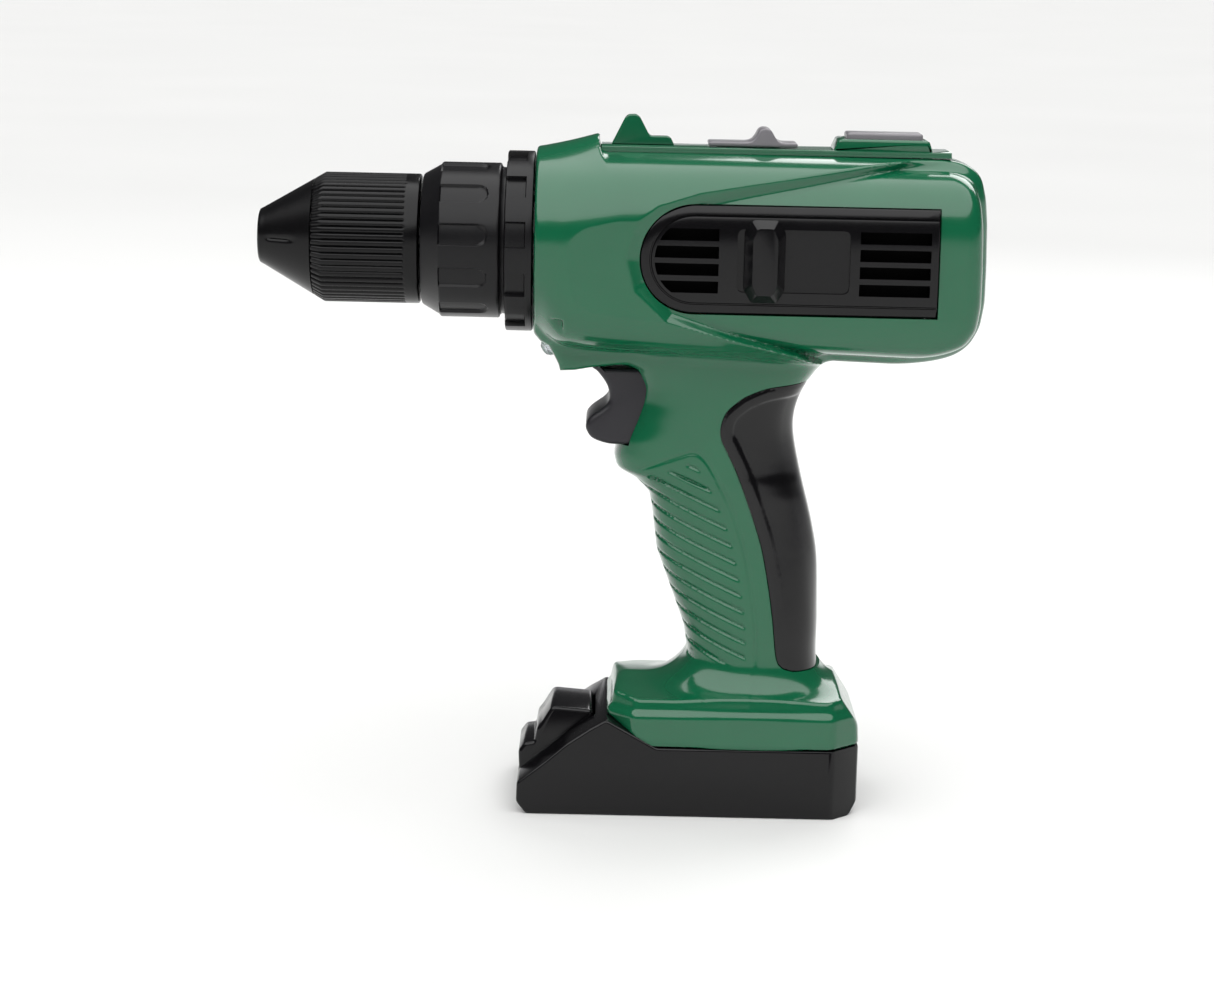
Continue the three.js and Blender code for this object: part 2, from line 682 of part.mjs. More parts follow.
function sliderBlock(foot) {
  const bottom = up(panelRise - blockHeight / 2);
  const top = up(panelRise + blockHeight / 2);
  const back = blockFront + blockLength;
  const points = [
    [blockFront, bottom + 3.55], [blockFront + 2, bottom], [back - 2, bottom], [back, bottom + 3.55],
    [back, top - 3.55], [back - 2, top], [blockFront + 2, top], [blockFront, top - 3.55],
  ];
  return slab(points, foot, panelFace + 3, 1.2);
}

{
  const rightBlock = sliderBlock(panelFace - 0.9);
  node('right_vent_panel', ventPanel(1).add(rightBlock), black);
  node('left_vent_panel', ventPanel(-1), black);
  const top = sliderBlock(panelFace + seam);
  const keel = box(blockFront + 2, blockFront + blockLength - 2, panelFace - 1 + seam, panelFace + 1,
    up(panelRise - trackHalf + 0.4), up(panelRise + trackHalf - 0.4));
  node('direction_slider', top.add(keel).mirror([0, 1, 0]), black);
}

// ---------------------------------------------------------------- top rail and its controls

const plateThick = 1.9;
const pedestalFront = 36.8;
const pedestalBack = 65;
const buttonTop = railRise + 4.9;

{
  const railBack = railFront + railLength;
  const strip = box(railFront, railBack, -railHalf, railHalf, up(railBottom + seam), up(railRise));
  const fin = slab([
    [railFront + 2.6, up(railRise - 0.5)], [railFront + 6.9, up(36.7)], [railFront + 10.6, up(36.8)],
    [railFront + 13.6, up(30.8)], [railFront + 19.1, up(30.8)], [railFront + 20.8, up(railRise - 0.5)],
  ], -1.5, 1.5);
  const pedestalHalf = railHalf - 1;
  const pedestal = box(
    pedestalFront, pedestalBack, -pedestalHalf, pedestalHalf, up(railRise - 0.5), up(railRise + 3.2),
  );
  const buttonWell = box(padFront - seam, padBack + seam, -5.8, 5.8, up(railRise - 4), up(railRise + 5));
  const speedWell = box(4, 4 + 12 + speedTravel, -2.4, 2.4, up(railRise - 4), up(railRise + 2));
  node('top_rail', cut(join(strip, fin, pedestal), buttonWell, speedWell), green);

  // The slider's plate lies on the rail and its stem goes down through the slot.
  const plate = box(1.6, 26.8, -6, 6, up(railRise + seam), up(railRise + 1.6));
  const bump = slab([
    [13.5, up(railRise + 1)], [16.4, up(railRise + 5.6)], [18.8, up(railRise + 5.6)], [22, up(railRise + 1)],
  ], -5, 5, 0.6);
  const stem = box(10 - 4 + running, 14, -2, 2, up(railRise - 3), up(railRise + 1));
  node('speed_slider', join(plate, bump, stem), grey);

  const cap = box(padFront, padBack, -5.5, 5.5, up(railRise - 1), up(buttonTop));
  const rim = box(padFront + 3, padBack - 3, -5.5, 5.5, up(railRise - 2.6), up(railRise - 0.5));
  node('effects_button', join(cap, rim), grey);
  const switchTop = railRise - 2.6 - buttonTravel - 3;
  const buttonX = (padFront + padBack) / 2;
  node('effects_switch', box(buttonX - 3, buttonX + 3, -3, 3, up(switchTop - 4), up(switchTop)), satinBlack);
  const lift = coilSpring(1.8, 0.3, 3, 2.8).rotateY(-Math.PI / 2);
  node('button_spring', solid(lift.translate(buttonX, 0, up(switchTop + 0.45))), steel);
}

// ---------------------------------------------------------------- trigger, switch, light

const triggerBack = -9;
const switchFront = 3;
const springHeight = level(47);

{
  const outline = [
    [triggerBack, up(-chinFloor - 0.4)], [-30.4, up(-chinFloor - 0.4)], [-27.6, up(-36.4)],
    [-25.7, up(-39.2)], [-24.9, up(-42.5)], [-26.8, level(45.8)], [-30, level(48.5)],
    [-31.4, level(50.5)], [-31.2, level(53)], [-29.5, level(55)], [-26.2, level(56.2)],
    [-22, level(56.8)], [triggerBack, level(56.8)],
  ];
  node('trigger', slab(outline, -triggerHalf, triggerHalf, 0.6), black);
  node('trigger_switch', cut(
    box(switchFront, switchFront + 14, -6, 6, springHeight - 8, springHeight + 8),
    rodY(1.5, -7, 7, switchFront + 7, springHeight, 12),
  ), satinBlack);
  const spring = coilSpring(3, 0.45, 5, switchFront - triggerBack - 2.4);
  node('trigger_spring', solid(spring.translate(triggerBack + 1.2, 0, springHeight)), steel);

  node('led_lens', onLedAxis([
    [1.7, -4], [2.8, -4], [2.8, 0.6], [2.5, 1.9], [1.6, 2.8], [0, 3.2], [0, 1.6], [1.2, 1.2],
    [1.7, 0], [1.7, -4],
  ]), clear);
  node('led', onLedAxis([[0, -9], [1.4, -9], [1.4, -1], [1, -0.2], [0, 0.2], [0, -9]], 12), white);
}

// ---------------------------------------------------------------- electrics

{
  const boardFront = motorBack + 8;
  const boardTop = up(12);
  node('circuit_board', box(boardFront, boardFront + 26, -8, -6.4, up(-14), boardTop), board);
  const speakerSpot = boardFront + 14;
  const cone = new THREE.LatheGeometry([
    [0, 4], [5, 4], [12, 8], [13, 8], [13, 9.6], [11, 9.6], [4, 6], [0, 6], [0, 4],
  ].map(([r, y]) => new THREE.Vector2(r, y)), 16);
  node('speaker', solid(cone.translate(speakerSpot, 4, axisHeight)), satinBlack);

  // Two leads run down the handle, from the battery contacts to the switch.
  [-1, 1].forEach((side, i) => {
    const path = new THREE.CatmullRomCurve3([
      new THREE.Vector3(12, side * 4, springHeight - 8.6),
      new THREE.Vector3(14, side * 4.5, level(75)),
      new THREE.Vector3(17, side * 5, level(100)),
      new THREE.Vector3(16, side * 6, footTop - 4),
    ]);
    const section = new THREE.Shape().absarc(0, 0, 0.7, 0, 2 * Math.PI, false);
    const tube = new THREE.ExtrudeGeometry(section, {
      steps: 8, curveSegments: 3, extrudePath: path, bevelEnabled: false,
    });
    node(`battery_lead_${i + 1}`, solid(tube), i ? satinBlack : wireRed);
  });
}

// ---------------------------------------------------------------- battery case

const caseFloor = 0;
const coverLip = 3;
const caseTop = footFloor - seam;
const cheekInner = 12.4;
const bayFloor = 3;
const cellHeight = bayFloor + 1 + cellRadius;
const bayFront = -22;
const contactThick = 0.4;
const springRoom = 6.2;         // length of a pressed contact spring
const bayBack = bayFront + 2 * contactThick + 0.6 + springRoom + cellLength;
const bayHalf = 2 * cellRadius + 1.6;
const coverScrewX = bayBack + 3.4;
const coverHalf = bayHalf + 2 - seam;

{
  const outline = [
    [-46.5, caseFloor], [-49.4, 4], [-49.2, 9.3], [-41, 15.6], [-35.2, 20.6], [-28.4, 25.2],
    [footFront + 0.3, 28.5], [-9.5, caseTop], [footBack, caseTop],
    [footBack, 5], [footBack - 2.5, caseFloor],
  ];
  const full = slab(outline, -footHalf, footHalf, 2)
    .intersect(tower(octagon(-60, footBack, footHalf, footCorner), caseFloor, axisHeight));
  const latchGap = box(-60, -27, -cheekInner, cheekInner, 8, 40);
  const bay = box(bayFront, bayBack, -bayHalf, bayHalf, -1, cellHeight + cellRadius + 1);
  const coverSeat = box(bayFront - coverLip, bayBack + 7, -bayHalf - 2, bayHalf + 2, -1, 2);
  const wireHole = box(8, 22, -9, 9, cellHeight, footFloor + 2);
  const pilot = rodZ(screwRadius + 0.2, 1, 12, coverScrewX, 0, 10);
  node('battery_case', cut(full, latchGap, bay, coverSeat, wireHole, pilot), black);

  node('battery_cover', cut(
    box(bayFront - coverLip + seam, bayBack + 7 - seam, -coverHalf, coverHalf, 0, 2 - seam),
    rodZ(screwRadius + 0.4, -1, 3, coverScrewX, 0, 10),
    rodZ(2.6, -1, 0.9, coverScrewX, 0, 12),
  ), black);
  const coverScrew = new THREE.LatheGeometry([
    [0, 0.15], [2.2, 0.15], [2.2, 0.7], [screwRadius, 0.75], [screwRadius, 9], [0, 9.6], [0, 0.15],
  ].map(([r, z]) => new THREE.Vector2(r, z)), 10);
  node('battery_cover_screw', solid(coverScrew.rotateX(Math.PI / 2).translate(coverScrewX, 0, 0)), steel);

  node('latch_block', slab([
    [-49, 8 + seam], [-49.2, 15], [-47.2, 17.4], [-44.6, 17.6], [-43.8, 22], [-42.4, 23.6],
    [-39.6, 27.8], [-28, 27.2], [-27.3, 20], [-27.3, 8 + seam],
  ], -cheekInner + seam, cheekInner - seam, 0.8), black);

  // One cell points back and the other forwards, each with a spring behind it.
  const inFront = bayFront + contactThick + 0.1;
  const atBack = bayBack - contactThick - 0.1;
  [-1, 1].forEach((side, i) => {
    const y = side * (cellRadius + 0.4);
    const tube = new THREE.LatheGeometry([
      [0, 0], [cellRadius, 0], [cellRadius, cellLength - 1.5], [2.8, cellLength - 1.5],
      [2.8, cellLength], [0, cellLength], [0, 0],
    ].map(([r, x]) => new THREE.Vector2(r, x)), 16);
    tube.rotateZ(-Math.PI / 2);
    if (side > 0) tube.rotateZ(Math.PI).translate(cellLength, 0, 0);
    const cellFront = side < 0 ? atBack - 0.1 - cellLength : inFront + 0.1;
    node(`aa_cell_${i + 1}`, solid(tube.translate(cellFront, y, cellHeight)), steel);
    const spring = coilSpring(2.6, 0.4, 4, springRoom - 1.1);
    const springAt = (side < 0 ? inFront : atBack - springRoom) + 0.55;
    node(`contact_spring_${i + 1}`, solid(spring.translate(springAt, y, cellHeight)), steel);
    const terminal = box(
      atBack + 0.05, atBack + contactThick, side > 0 ? 2 : -13, side > 0 ? 13 : -2,
      cellHeight - 5, cellHeight + 5,
    );
    node(`contact_terminal_${i + 1}`, terminal, steel);
  });
  node('contact_bridge', box(
    inFront - contactThick, inFront - 0.05, -13, 13, cellHeight - 5, cellHeight + 5,
  ), steel);
}

export default drill;
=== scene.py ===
import json
import math

import bpy
import numpy as np
from mathutils import Matrix, Vector

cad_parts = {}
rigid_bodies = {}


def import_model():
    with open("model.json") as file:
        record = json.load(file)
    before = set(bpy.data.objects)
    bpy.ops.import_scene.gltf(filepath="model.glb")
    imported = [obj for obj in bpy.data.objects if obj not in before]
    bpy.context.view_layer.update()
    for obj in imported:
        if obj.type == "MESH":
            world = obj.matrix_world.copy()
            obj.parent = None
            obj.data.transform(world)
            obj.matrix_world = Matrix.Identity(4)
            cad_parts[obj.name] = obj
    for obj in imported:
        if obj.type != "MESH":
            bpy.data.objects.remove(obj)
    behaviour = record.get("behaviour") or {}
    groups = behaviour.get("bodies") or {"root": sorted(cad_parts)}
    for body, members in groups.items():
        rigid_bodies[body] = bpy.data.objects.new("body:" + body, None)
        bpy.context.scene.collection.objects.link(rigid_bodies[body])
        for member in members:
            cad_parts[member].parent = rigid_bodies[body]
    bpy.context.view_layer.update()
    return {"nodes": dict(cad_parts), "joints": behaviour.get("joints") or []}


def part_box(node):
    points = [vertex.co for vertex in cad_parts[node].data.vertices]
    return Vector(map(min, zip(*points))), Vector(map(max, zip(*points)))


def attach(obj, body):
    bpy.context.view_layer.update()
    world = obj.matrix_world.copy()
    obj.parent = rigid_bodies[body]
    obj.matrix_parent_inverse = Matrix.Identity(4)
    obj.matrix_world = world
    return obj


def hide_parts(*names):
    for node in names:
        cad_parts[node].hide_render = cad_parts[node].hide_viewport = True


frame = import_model()
mm = 0.001
joints = {j["name"]: j for j in frame["joints"]}
axisHeight = joints["chuck_spin"]["pos_m"][2] / mm


def boxOf(node):  # lowest and highest corner of a frame node, in millimetres
    low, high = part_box(node)
    return np.array(low) / mm, np.array(high) / mm


print("frame loaded")

# ---- camera, floor and lights

studio = {
    "aim": (-25.0, 0.0, 90.0),
    "distance": 845.0,
    "pitch": 10.5,  # degrees down
    "roll": 1.25,
    "lens": 86.11,
    "floorRadius": 40.0,  # metres
    "floorColour": (0.80, 0.80, 0.79),
    "room": ((0.02, 0.80), (0.08, 0.07)),  # sine of the height over the horizon, and level
}


def makeCamera():
    pitch, roll = math.radians(studio["pitch"]), math.radians(studio["roll"])
    forward = Vector((0, math.cos(pitch), -math.sin(pitch)))
    side, up = Vector((1, 0, 0)), Vector((0, math.sin(pitch), math.cos(pitch)))
    right = side * math.cos(roll) + up * math.sin(roll)
    top = up * math.cos(roll) - side * math.sin(roll)
    data = bpy.data.cameras.new("camera")
    data.lens, data.sensor_width = studio["lens"], 36
    data.clip_start, data.clip_end = 0.05, 60
    camera = bpy.data.objects.new("camera", data)
    turn = Matrix((right, top, -forward)).transposed().to_4x4()
    place = Vector(studio["aim"]) * mm - forward * studio["distance"] * mm
    camera.matrix_world = Matrix.Translation(place) @ turn
    bpy.context.scene.collection.objects.link(camera)
    bpy.context.scene.camera = camera


lights = {  # place and aim in metres, size in metres, power in watts
    "rim": {"at": (0.5, 1.0, 0.9), "aim": (0, 0, 0.12), "size": (0.9, 0.6), "power": 6.0},
}
daylight = {"from": (-0.1, -0.32, 1.0), "spread": 96.0, "strength": 4.2}


def makeLights():
    for name, s in lights.items():
        data = bpy.data.lights.new(name, "AREA")
        data.shape, data.energy = "RECTANGLE", s["power"]
        data.size, data.size_y = s["size"]
        lamp = bpy.data.objects.new(name, data)
        lamp.location = s["at"]
        aim = Vector(s["aim"]) - Vector(s["at"])
        lamp.rotation_euler = aim.to_track_quat("-Z", "Y").to_euler()
        bpy.context.scene.collection.objects.link(lamp)
    sun = bpy.data.lights.new("daylight", "SUN")
    sun.energy, sun.angle = daylight["strength"], math.radians(daylight["spread"])
    lamp = bpy.data.objects.new("daylight", sun)
    lamp.rotation_euler = (-Vector(daylight["from"])).to_track_quat("-Z", "Y").to_euler()
    bpy.context.scene.collection.objects.link(lamp)
    # the room is pale at the floor's edge and dim above it
    world = bpy.data.worlds.new("room")
    bpy.context.scene.world = world
    world.use_nodes = True
    nodes, links = world.node_tree.nodes, world.node_tree.links
    sky = nodes["Background"]
    split, ramp = nodes.new("ShaderNodeSeparateXYZ"), nodes.new("ShaderNodeValToRGB")
    for stop, (place, level) in zip(ramp.color_ramp.elements, studio["room"]):
        stop.position, stop.color = place, (level, level, level * 1.02, 1)
    links.new(nodes.new("ShaderNodeTexCoord").outputs["Generated"], split.inputs[0])
    links.new(split.outputs["Z"], ramp.inputs[0])
    links.new(ramp.outputs[0], sky.inputs["Color"])


# ---- shader writing


class Wire:  # one output socket, with sums written as Math nodes
    def __init__(self, paint, socket):
        self.paint, self.socket = paint, socket

    def sum(self, operation, first, second):
        return self.paint.node("ShaderNodeMath", {"operation": operation}, {0: first, 1: second})

    def __add__(self, other):
        return self.sum("ADD", self, other)

    def __radd__(self, other):
        return self.sum("ADD", other, self)

    def __mul__(self, other):
        return self.sum("MULTIPLY", self, other)

    def __rmul__(self, other):
        return self.sum("MULTIPLY", other, self)


class Paint:  # a material and its one Principled shader
    def __init__(self, name, **sockets):
        self.material = bpy.data.materials.new(name)
        self.material.use_nodes = True
        self.tree = self.material.node_tree
        self.shader = self.tree.nodes["Principled BSDF"]
        for key, value in sockets.items():
            self.shader.inputs[key.replace("_", " ")].default_value = value

    def node(self, kind, settings=None, inputs=None, output=0):
        made = self.tree.nodes.new(kind)
        for key, value in (settings or {}).items():
            if key == "stops":
                for stop, (place, colour) in zip(made.color_ramp.elements, value):
                    stop.position, stop.color = place, colour
            else:
                setattr(made, key, value)
        for key, value in (inputs or {}).items():
            if isinstance(value, Wire):
                self.tree.links.new(value.socket, made.inputs[key])
            else:
                made.inputs[key].default_value = value
        return Wire(self, made.outputs[output])

    def place(self):
        return self.node("ShaderNodeTexCoord", output="Object")

    def noise(self, scale, detail=2.0, rough=0.5, at=None):
        put = {"Vector": at or self.place(), "Scale": scale, "Detail": detail, "Roughness": rough}
        return self.node("ShaderNodeTexNoise", {}, put)

    def mix(self, factor, one, two):
        put = {"Factor": factor, 6: one, 7: two}
        return self.node("ShaderNodeMix", {"data_type": "RGBA"}, put, 2)

    def bump(self, height, strength, distance, normal=None):
        put = {"Height": height, "Strength": strength, "Distance": distance}
        if normal:
            put["Normal"] = normal
        return self.node("ShaderNodeBump", {}, put)

    def feed(self, **wires):
        for key, wire in wires.items():
            self.tree.links.new(wire.socket, self.shader.inputs[key.replace("_", " ")])


finishes = {  # colour is linear; vary is the share that the tone drifts; rough is low and high
    "greenGloss": {"colour": (0.0026, 0.104, 0.043), "vary": 0.10, "rough": (0.13, 0.21),
                   "coat": 0.35, "shine": 0.5, "wave": 0.05, "grain": 0.02},
    "blackGloss": {"colour": (0.0032, 0.0030, 0.0036), "vary": 0.20, "rough": (0.12, 0.20),
                   "coat": 0.0, "shine": 0.30, "wave": 0.04, "grain": 0.02},
    "chuckBlack": {"colour": (0.0022, 0.0021, 0.0025), "vary": 0.20, "rough": (0.20, 0.30),
                   "coat": 0.0, "shine": 0.24, "wave": 0.03, "grain": 0.05},
    "collarBlack": {"colour": (0.0042, 0.0040, 0.0048), "vary": 0.20, "rough": (0.26, 0.36),
                    "coat": 0.0, "shine": 0.27, "wave": 0.02, "grain": 0.10},
    "triggerGrey": {"colour": (0.019, 0.018, 0.022), "vary": 0.15, "rough": (0.30, 0.40),
                    "coat": 0.0, "shine": 0.36, "wave": 0.02, "grain": 0.10},
    "gripBlack": {"colour": (0.0026, 0.0024, 0.0030), "vary": 0.20, "rough": (0.12, 0.20),
                  "coat": 0.0, "shine": 0.40, "wave": 0.05, "grain": 0.03},
    "greyPlastic": {"colour": (0.19, 0.18, 0.195), "vary": 0.10, "rough": (0.30, 0.40),
                    "coat": 0.2, "shine": 0.45, "wave": 0.03, "grain": 0.05},
    "whiteNylon": {"colour": (0.78, 0.76, 0.70), "vary": 0.08, "rough": (0.38, 0.50),
                   "coat": 0.0, "shine": 0.45, "wave": 0.02, "grain": 0.12},
    "amberPlastic": {"colour": (0.56, 0.36, 0.13), "vary": 0.12, "rough": (0.36, 0.50),
                     "coat": 0.1, "shine": 0.45, "wave": 0.03, "grain": 0.10},
    "satinBlack": {"colour": (0.011, 0.011, 0.012), "vary": 0.20, "rough": (0.40, 0.52),
                   "coat": 0.0, "shine": 0.4, "wave": 0.02, "grain": 0.15},
    # painted shade: a near-black matte for the slot floors, standing in for the dark inside deep slots
    "slotPaintedShade": {"colour": (0.0008, 0.0008, 0.0009), "vary": 0.20, "rough": (0.55, 0.70),
                  "coat": 0.0, "shine": 0.04, "wave": 0.02, "grain": 0.20},
    "redLead": {"colour": (0.42, 0.012, 0.010), "vary": 0.12, "rough": (0.34, 0.46),
                "coat": 0.1, "shine": 0.45, "wave": 0.02, "grain": 0.06},
}


def plastic(name):
    # tone drifts over about 20 mm, gloss over 6 mm, a slow mould wave and a fine grain go to the bump
    s = finishes[name]
    paint = Paint(name, Coat_Weight=s["coat"], Coat_Roughness=0.05, IOR=1.5, Specular_IOR_Level=s["shine"])
    drift = paint.noise(48.0, 3.0)
    deep = [c * (1 - s["vary"]) for c in s["colour"]]
    pale = [c * (1 + s["vary"]) for c in s["colour"]]
    low, high = s["rough"]
    smear = paint.noise(170.0, 4.0, 0.6)
    slow = paint.noise(90.0, 1.0)
    fine = paint.noise(3800.0, 2.0)
    normal = paint.bump(slow, s["wave"], 0.0012)
    normal = paint.bump(fine, s["grain"], 0.0001, normal)
    paint.feed(Base_Color=paint.mix(drift, (*deep, 1), (*pale, 1)),
               Roughness=smear * (high - low) + low, Normal=normal)
    return paint.material


metals = {
    "steel": {"colour": (0.50, 0.50, 0.51), "rough": (0.18, 0.34)},
    "bronze": {"colour": (0.52, 0.33, 0.12), "rough": (0.25, 0.42)},
}


def metal(name):
    # fine turned lines lie across X, and tarnish drifts over about 10 mm
    s = metals[name]
    paint = Paint(name, Metallic=1.0)
    drift = paint.noise(95.0, 4.0, 0.6)
    lines = paint.node("ShaderNodeMapping", {}, {"Vector": paint.place(), "Scale": (9.0, 0.4, 0.4)})
    brushed = paint.noise(700.0, 2.0, 0.5, lines)
    dull = [c * 0.72 for c in s["colour"]]
    low, high = s["rough"]
    paint.feed(Base_Color=paint.mix(drift, (*dull, 1), (*s["colour"], 1)),
               Roughness=brushed * (high - low) + low,
               Normal=paint.bump(brushed, 0.12, 0.0002))
    return paint.material


def lensClear():
    paint = Paint("lensClear", Transmission_Weight=0.85, IOR=1.49, Coat_Weight=0.3)
    haze = paint.noise(260.0, 3.0)
    paint.feed(Roughness=haze * 0.10 + 0.04,
               Base_Color=paint.mix(haze, (0.80, 0.86, 0.90, 1), (0.92, 0.95, 0.97, 1)))
    return paint.material


def circuitGreen():
    # copper paths run under the green lacquer on a 2.5 mm grid
    paint = Paint("circuitGreen", Coat_Weight=0.4)
    cells = paint.node("ShaderNodeTexBrick", {}, {
        "Vector": paint.place(), "Scale": 400.0, "Color1": (0.02, 0.17, 0.06, 1),
        "Color2": (0.03, 0.22, 0.08, 1), "Mortar": (0.06, 0.34, 0.13, 1), "Mortar Size": 0.03})
    drift = paint.noise(300.0, 2.0)
    paint.feed(Base_Color=cells, Roughness=drift * 0.15 + 0.3,
               Normal=paint.bump(drift, 0.1, 0.0002))
    return paint.material


def cellJacket():
    # a dark printed sleeve with a copper band by the positive end, under clear film
    paint = Paint("cellJacket", Coat_Weight=0.5)
    split = paint.node("ShaderNodeSeparateXYZ", {}, {0: paint.place()})
    band = paint.node("ShaderNodeMath", {"operation": "GREATER_THAN"}, {0: split, 1: 0.014})
    drift = paint.noise(120.0, 2.0)
    paint.feed(Base_Color=paint.mix(band, (0.012, 0.012, 0.014, 1), (0.45, 0.20, 0.06, 1)),
               Roughness=drift * 0.14 + 0.18, Metallic=band * 0.6,
               Normal=paint.bump(drift, 0.06, 0.0003))
    return paint.material


def floorPaint():
    paint = Paint("floorPaint")
    drift = paint.noise(2.2, 3.0)
    low = [c * 0.97 for c in studio["floorColour"]]
    paint.feed(Base_Color=paint.mix(drift, (*low, 1), (*studio["floorColour"], 1)),
               Roughness=drift * 0.1 + 0.5)
    return paint.material


look = {name: plastic(name) for name in finishes}
look.update({name: metal(name) for name in metals})
look.update(lensClear=lensClear(), circuitGreen=circuitGreen(), cellJacket=cellJacket())
print("finishes made")

# ---- mesh making


def newMesh(name, points, faces):
    mesh = bpy.data.meshes.new(name)
    mesh.from_pydata((np.asarray(points) * mm).tolist(), [], faces)
    mesh.validate()
    return bpy.data.objects.new(name, mesh)


def volumeOf(mesh):  # the sum of the signed wedges under each face, positive when faces point out
    mesh.calc_loop_triangles()
    co = np.empty(len(mesh.vertices) * 3)
    mesh.vertices.foreach_get("co", co)
    tri = np.empty(len(mesh.loop_triangles) * 3, np.int64)
    mesh.loop_triangles.foreach_get("vertices", tri)
    a, b, c = co.reshape(-1, 3)[tri.reshape(-1, 3)].transpose(1, 0, 2)
    return np.einsum("ij,ij->", a, np.cross(b, c)) / 6


def turnOut(piece):  # faces of a closed piece point outwards
    if volumeOf(piece.data) < 0:
        piece.data.flip_normals()
    return piece


def show(piece, body, material, stands=(), sharp=38.0):
    turnOut(piece)
    mesh = piece.data
    mesh.materials.clear()
    mesh.materials.append(material)
    mesh.polygons.foreach_set("use_smooth", np.ones(len(mesh.polygons), bool))
    mesh.polygons.foreach_set("material_index", np.zeros(len(mesh.polygons), np.int32))
    mesh.set_sharp_from_angle(angle=math.radians(sharp))
    if piece.name not in bpy.context.scene.collection.objects:
        bpy.context.scene.collection.objects.link(piece)
    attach(piece, body)
    if stands:
        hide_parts(*stands)
    print(piece.name, len(mesh.polygons), "faces")
    return piece


def solidStep(piece, other, operation="DIFFERENCE"):
    # boolean with another closed piece, worked out at once; the other piece is used up
    scene = bpy.context.scene.collection.objects
    for one in (piece, other):
        turnOut(one)
        if one.name not in scene:
            scene.link(one)
    step = piece.modifiers.new("step", "BOOLEAN")
    step.operation, step.object, step.solver = operation, other, "MANIFOLD"
    bpy.context.view_layer.update()
    done = bpy.data.meshes.new_from_object(piece.evaluated_get(bpy.context.evaluated_depsgraph_get()))
    before = piece.data
    piece.modifiers.clear()
    piece.data = done
    bpy.data.meshes.remove(before)
    bpy.data.objects.remove(other)
    if not len(done.polygons):
        raise RuntimeError(f"nothing is left of {piece.name}")
    return piece


def copyOf(piece, name, mirrored=False):
    mesh = piece.data.copy()
    if mirrored:
        co = np.empty(len(mesh.vertices) * 3)
        mesh.vertices.foreach_get("co", co)
        co[1::3] *= -1
        mesh.vertices.foreach_set("co", co)
        mesh.flip_normals()
    return bpy.data.objects.new(name, mesh)


def tubeFaces(rows, columns, loop=False):
    # quads between neighbouring rings; loop joins the last ring to the first
    r = np.arange(rows if loop else rows - 1)[:, None]
    c = np.arange(columns)[None, :]
    r2, c2 = (r + 1) % rows, (c + 1) % columns
    quads = np.stack([r * columns + c, r * columns + c2, r2 * columns + c2, r2 * columns + c], -1)
    return quads.reshape(-1, 4).tolist()


def capped(name, rings):
    # rings is (rows, columns, 3); both end rings are closed with a face
    rows, columns, _ = rings.shape
    last = (rows - 1) * columns
    faces = tubeFaces(rows, columns)
    faces.append(list(range(columns))[::-1])
    faces.append([last + i for i in range(columns)])
    return newMesh(name, rings.reshape(-1, 3), faces)


def fillet(points, radius, steps=5):
    # each corner becomes a short parabola that leaves its two sides at most radius from the corner
    p = np.asarray(points, float)
    back, ahead = np.roll(p, 1, 0) - p, np.roll(p, -1, 0) - p
    reach = np.broadcast_to(np.asarray(radius, float), len(p))[:, None]
    size = [np.linalg.norm(v, axis=1, keepdims=True) for v in (back, ahead)]
    a, b = [p + v / s * np.minimum(reach, 0.45 * s) for v, s in zip((back, ahead), size)]
    t = np.linspace(0, 1, steps)[None, :, None]
    curve = (1 - t) ** 2 * a[:, None] + 2 * t * (1 - t) * p[:, None] + t**2 * b[:, None]
    return curve.reshape(-1, 2)


def throughPoints(points, steps=6, closed=True):
    # Catmull-Rom: each span leans on the points before and after it
    p = np.asarray(points, float)
    if closed:
        p0, p1, p2, p3 = np.roll(p, 1, 0), p, np.roll(p, -1, 0), np.roll(p, -2, 0)
    else:
        q = np.concatenate([2 * p[:1] - p[1:2], p, 2 * p[-1:] - p[-2:-1]])
        p0, p1, p2, p3 = q[:-3], q[1:-2], q[2:-1], q[3:]
    t = np.linspace(0, 1, steps, endpoint=False)[None, :, None]
    p0, p1, p2, p3 = [v[:, None] for v in (p0, p1, p2, p3)]
    curve = 0.5 * (2 * p1 + (p2 - p0) * t + (2 * p0 - 5 * p1 + 4 * p2 - p3) * t**2
                   + (3 * p1 - p0 - 3 * p2 + p3) * t**3)
    curve = curve.reshape(-1, 2)
    return curve if closed else np.concatenate([curve, p[-1:]])


def inward(outline, distance):
    # every point moves along the mean of its two side normals, into the outline
    p = np.asarray(outline, float)
    side = np.roll(p, -1, 0) - p
    side /= np.maximum(np.linalg.norm(side, axis=1, keepdims=True), 1e-9)
    area = np.sum(p[:, 0] * np.roll(p[:, 1], -1) - np.roll(p[:, 0], -1) * p[:, 1])
    normal = np.stack([-side[:, 1], side[:, 0]], 1) * np.sign(area)
    mean = normal + np.roll(normal, 1, 0)
    mean /= np.maximum((mean**2).sum(1, keepdims=True), 0.5) / 2
    return p + mean * distance


def prism(name, outline, low, high, axis="y", radius=0.0, steps=4):
    # an outline carried from low to high, with both rims rounded by a quarter circle
    turn = np.linspace(0, math.pi / 2, steps) if radius else np.array([math.pi / 2])
    inset = radius * (1 - np.sin(turn))
    lift = radius * (1 - np.cos(turn))
    inset, level = np.r_[inset, inset[::-1]], np.r_[low + lift, (high - lift)[::-1]]
    rings = []
    for back, height in zip(inset, level):
        ring = inward(outline, back) if back else np.asarray(outline, float)
        flat = np.full(len(ring), height)
        a, b = ring.T
        order = {"y": (a, flat, b), "z": (a, b, flat), "x": (flat, a, b)}[axis]
        rings.append(np.stack(order, 1))
    return capped(name, np.array(rings))


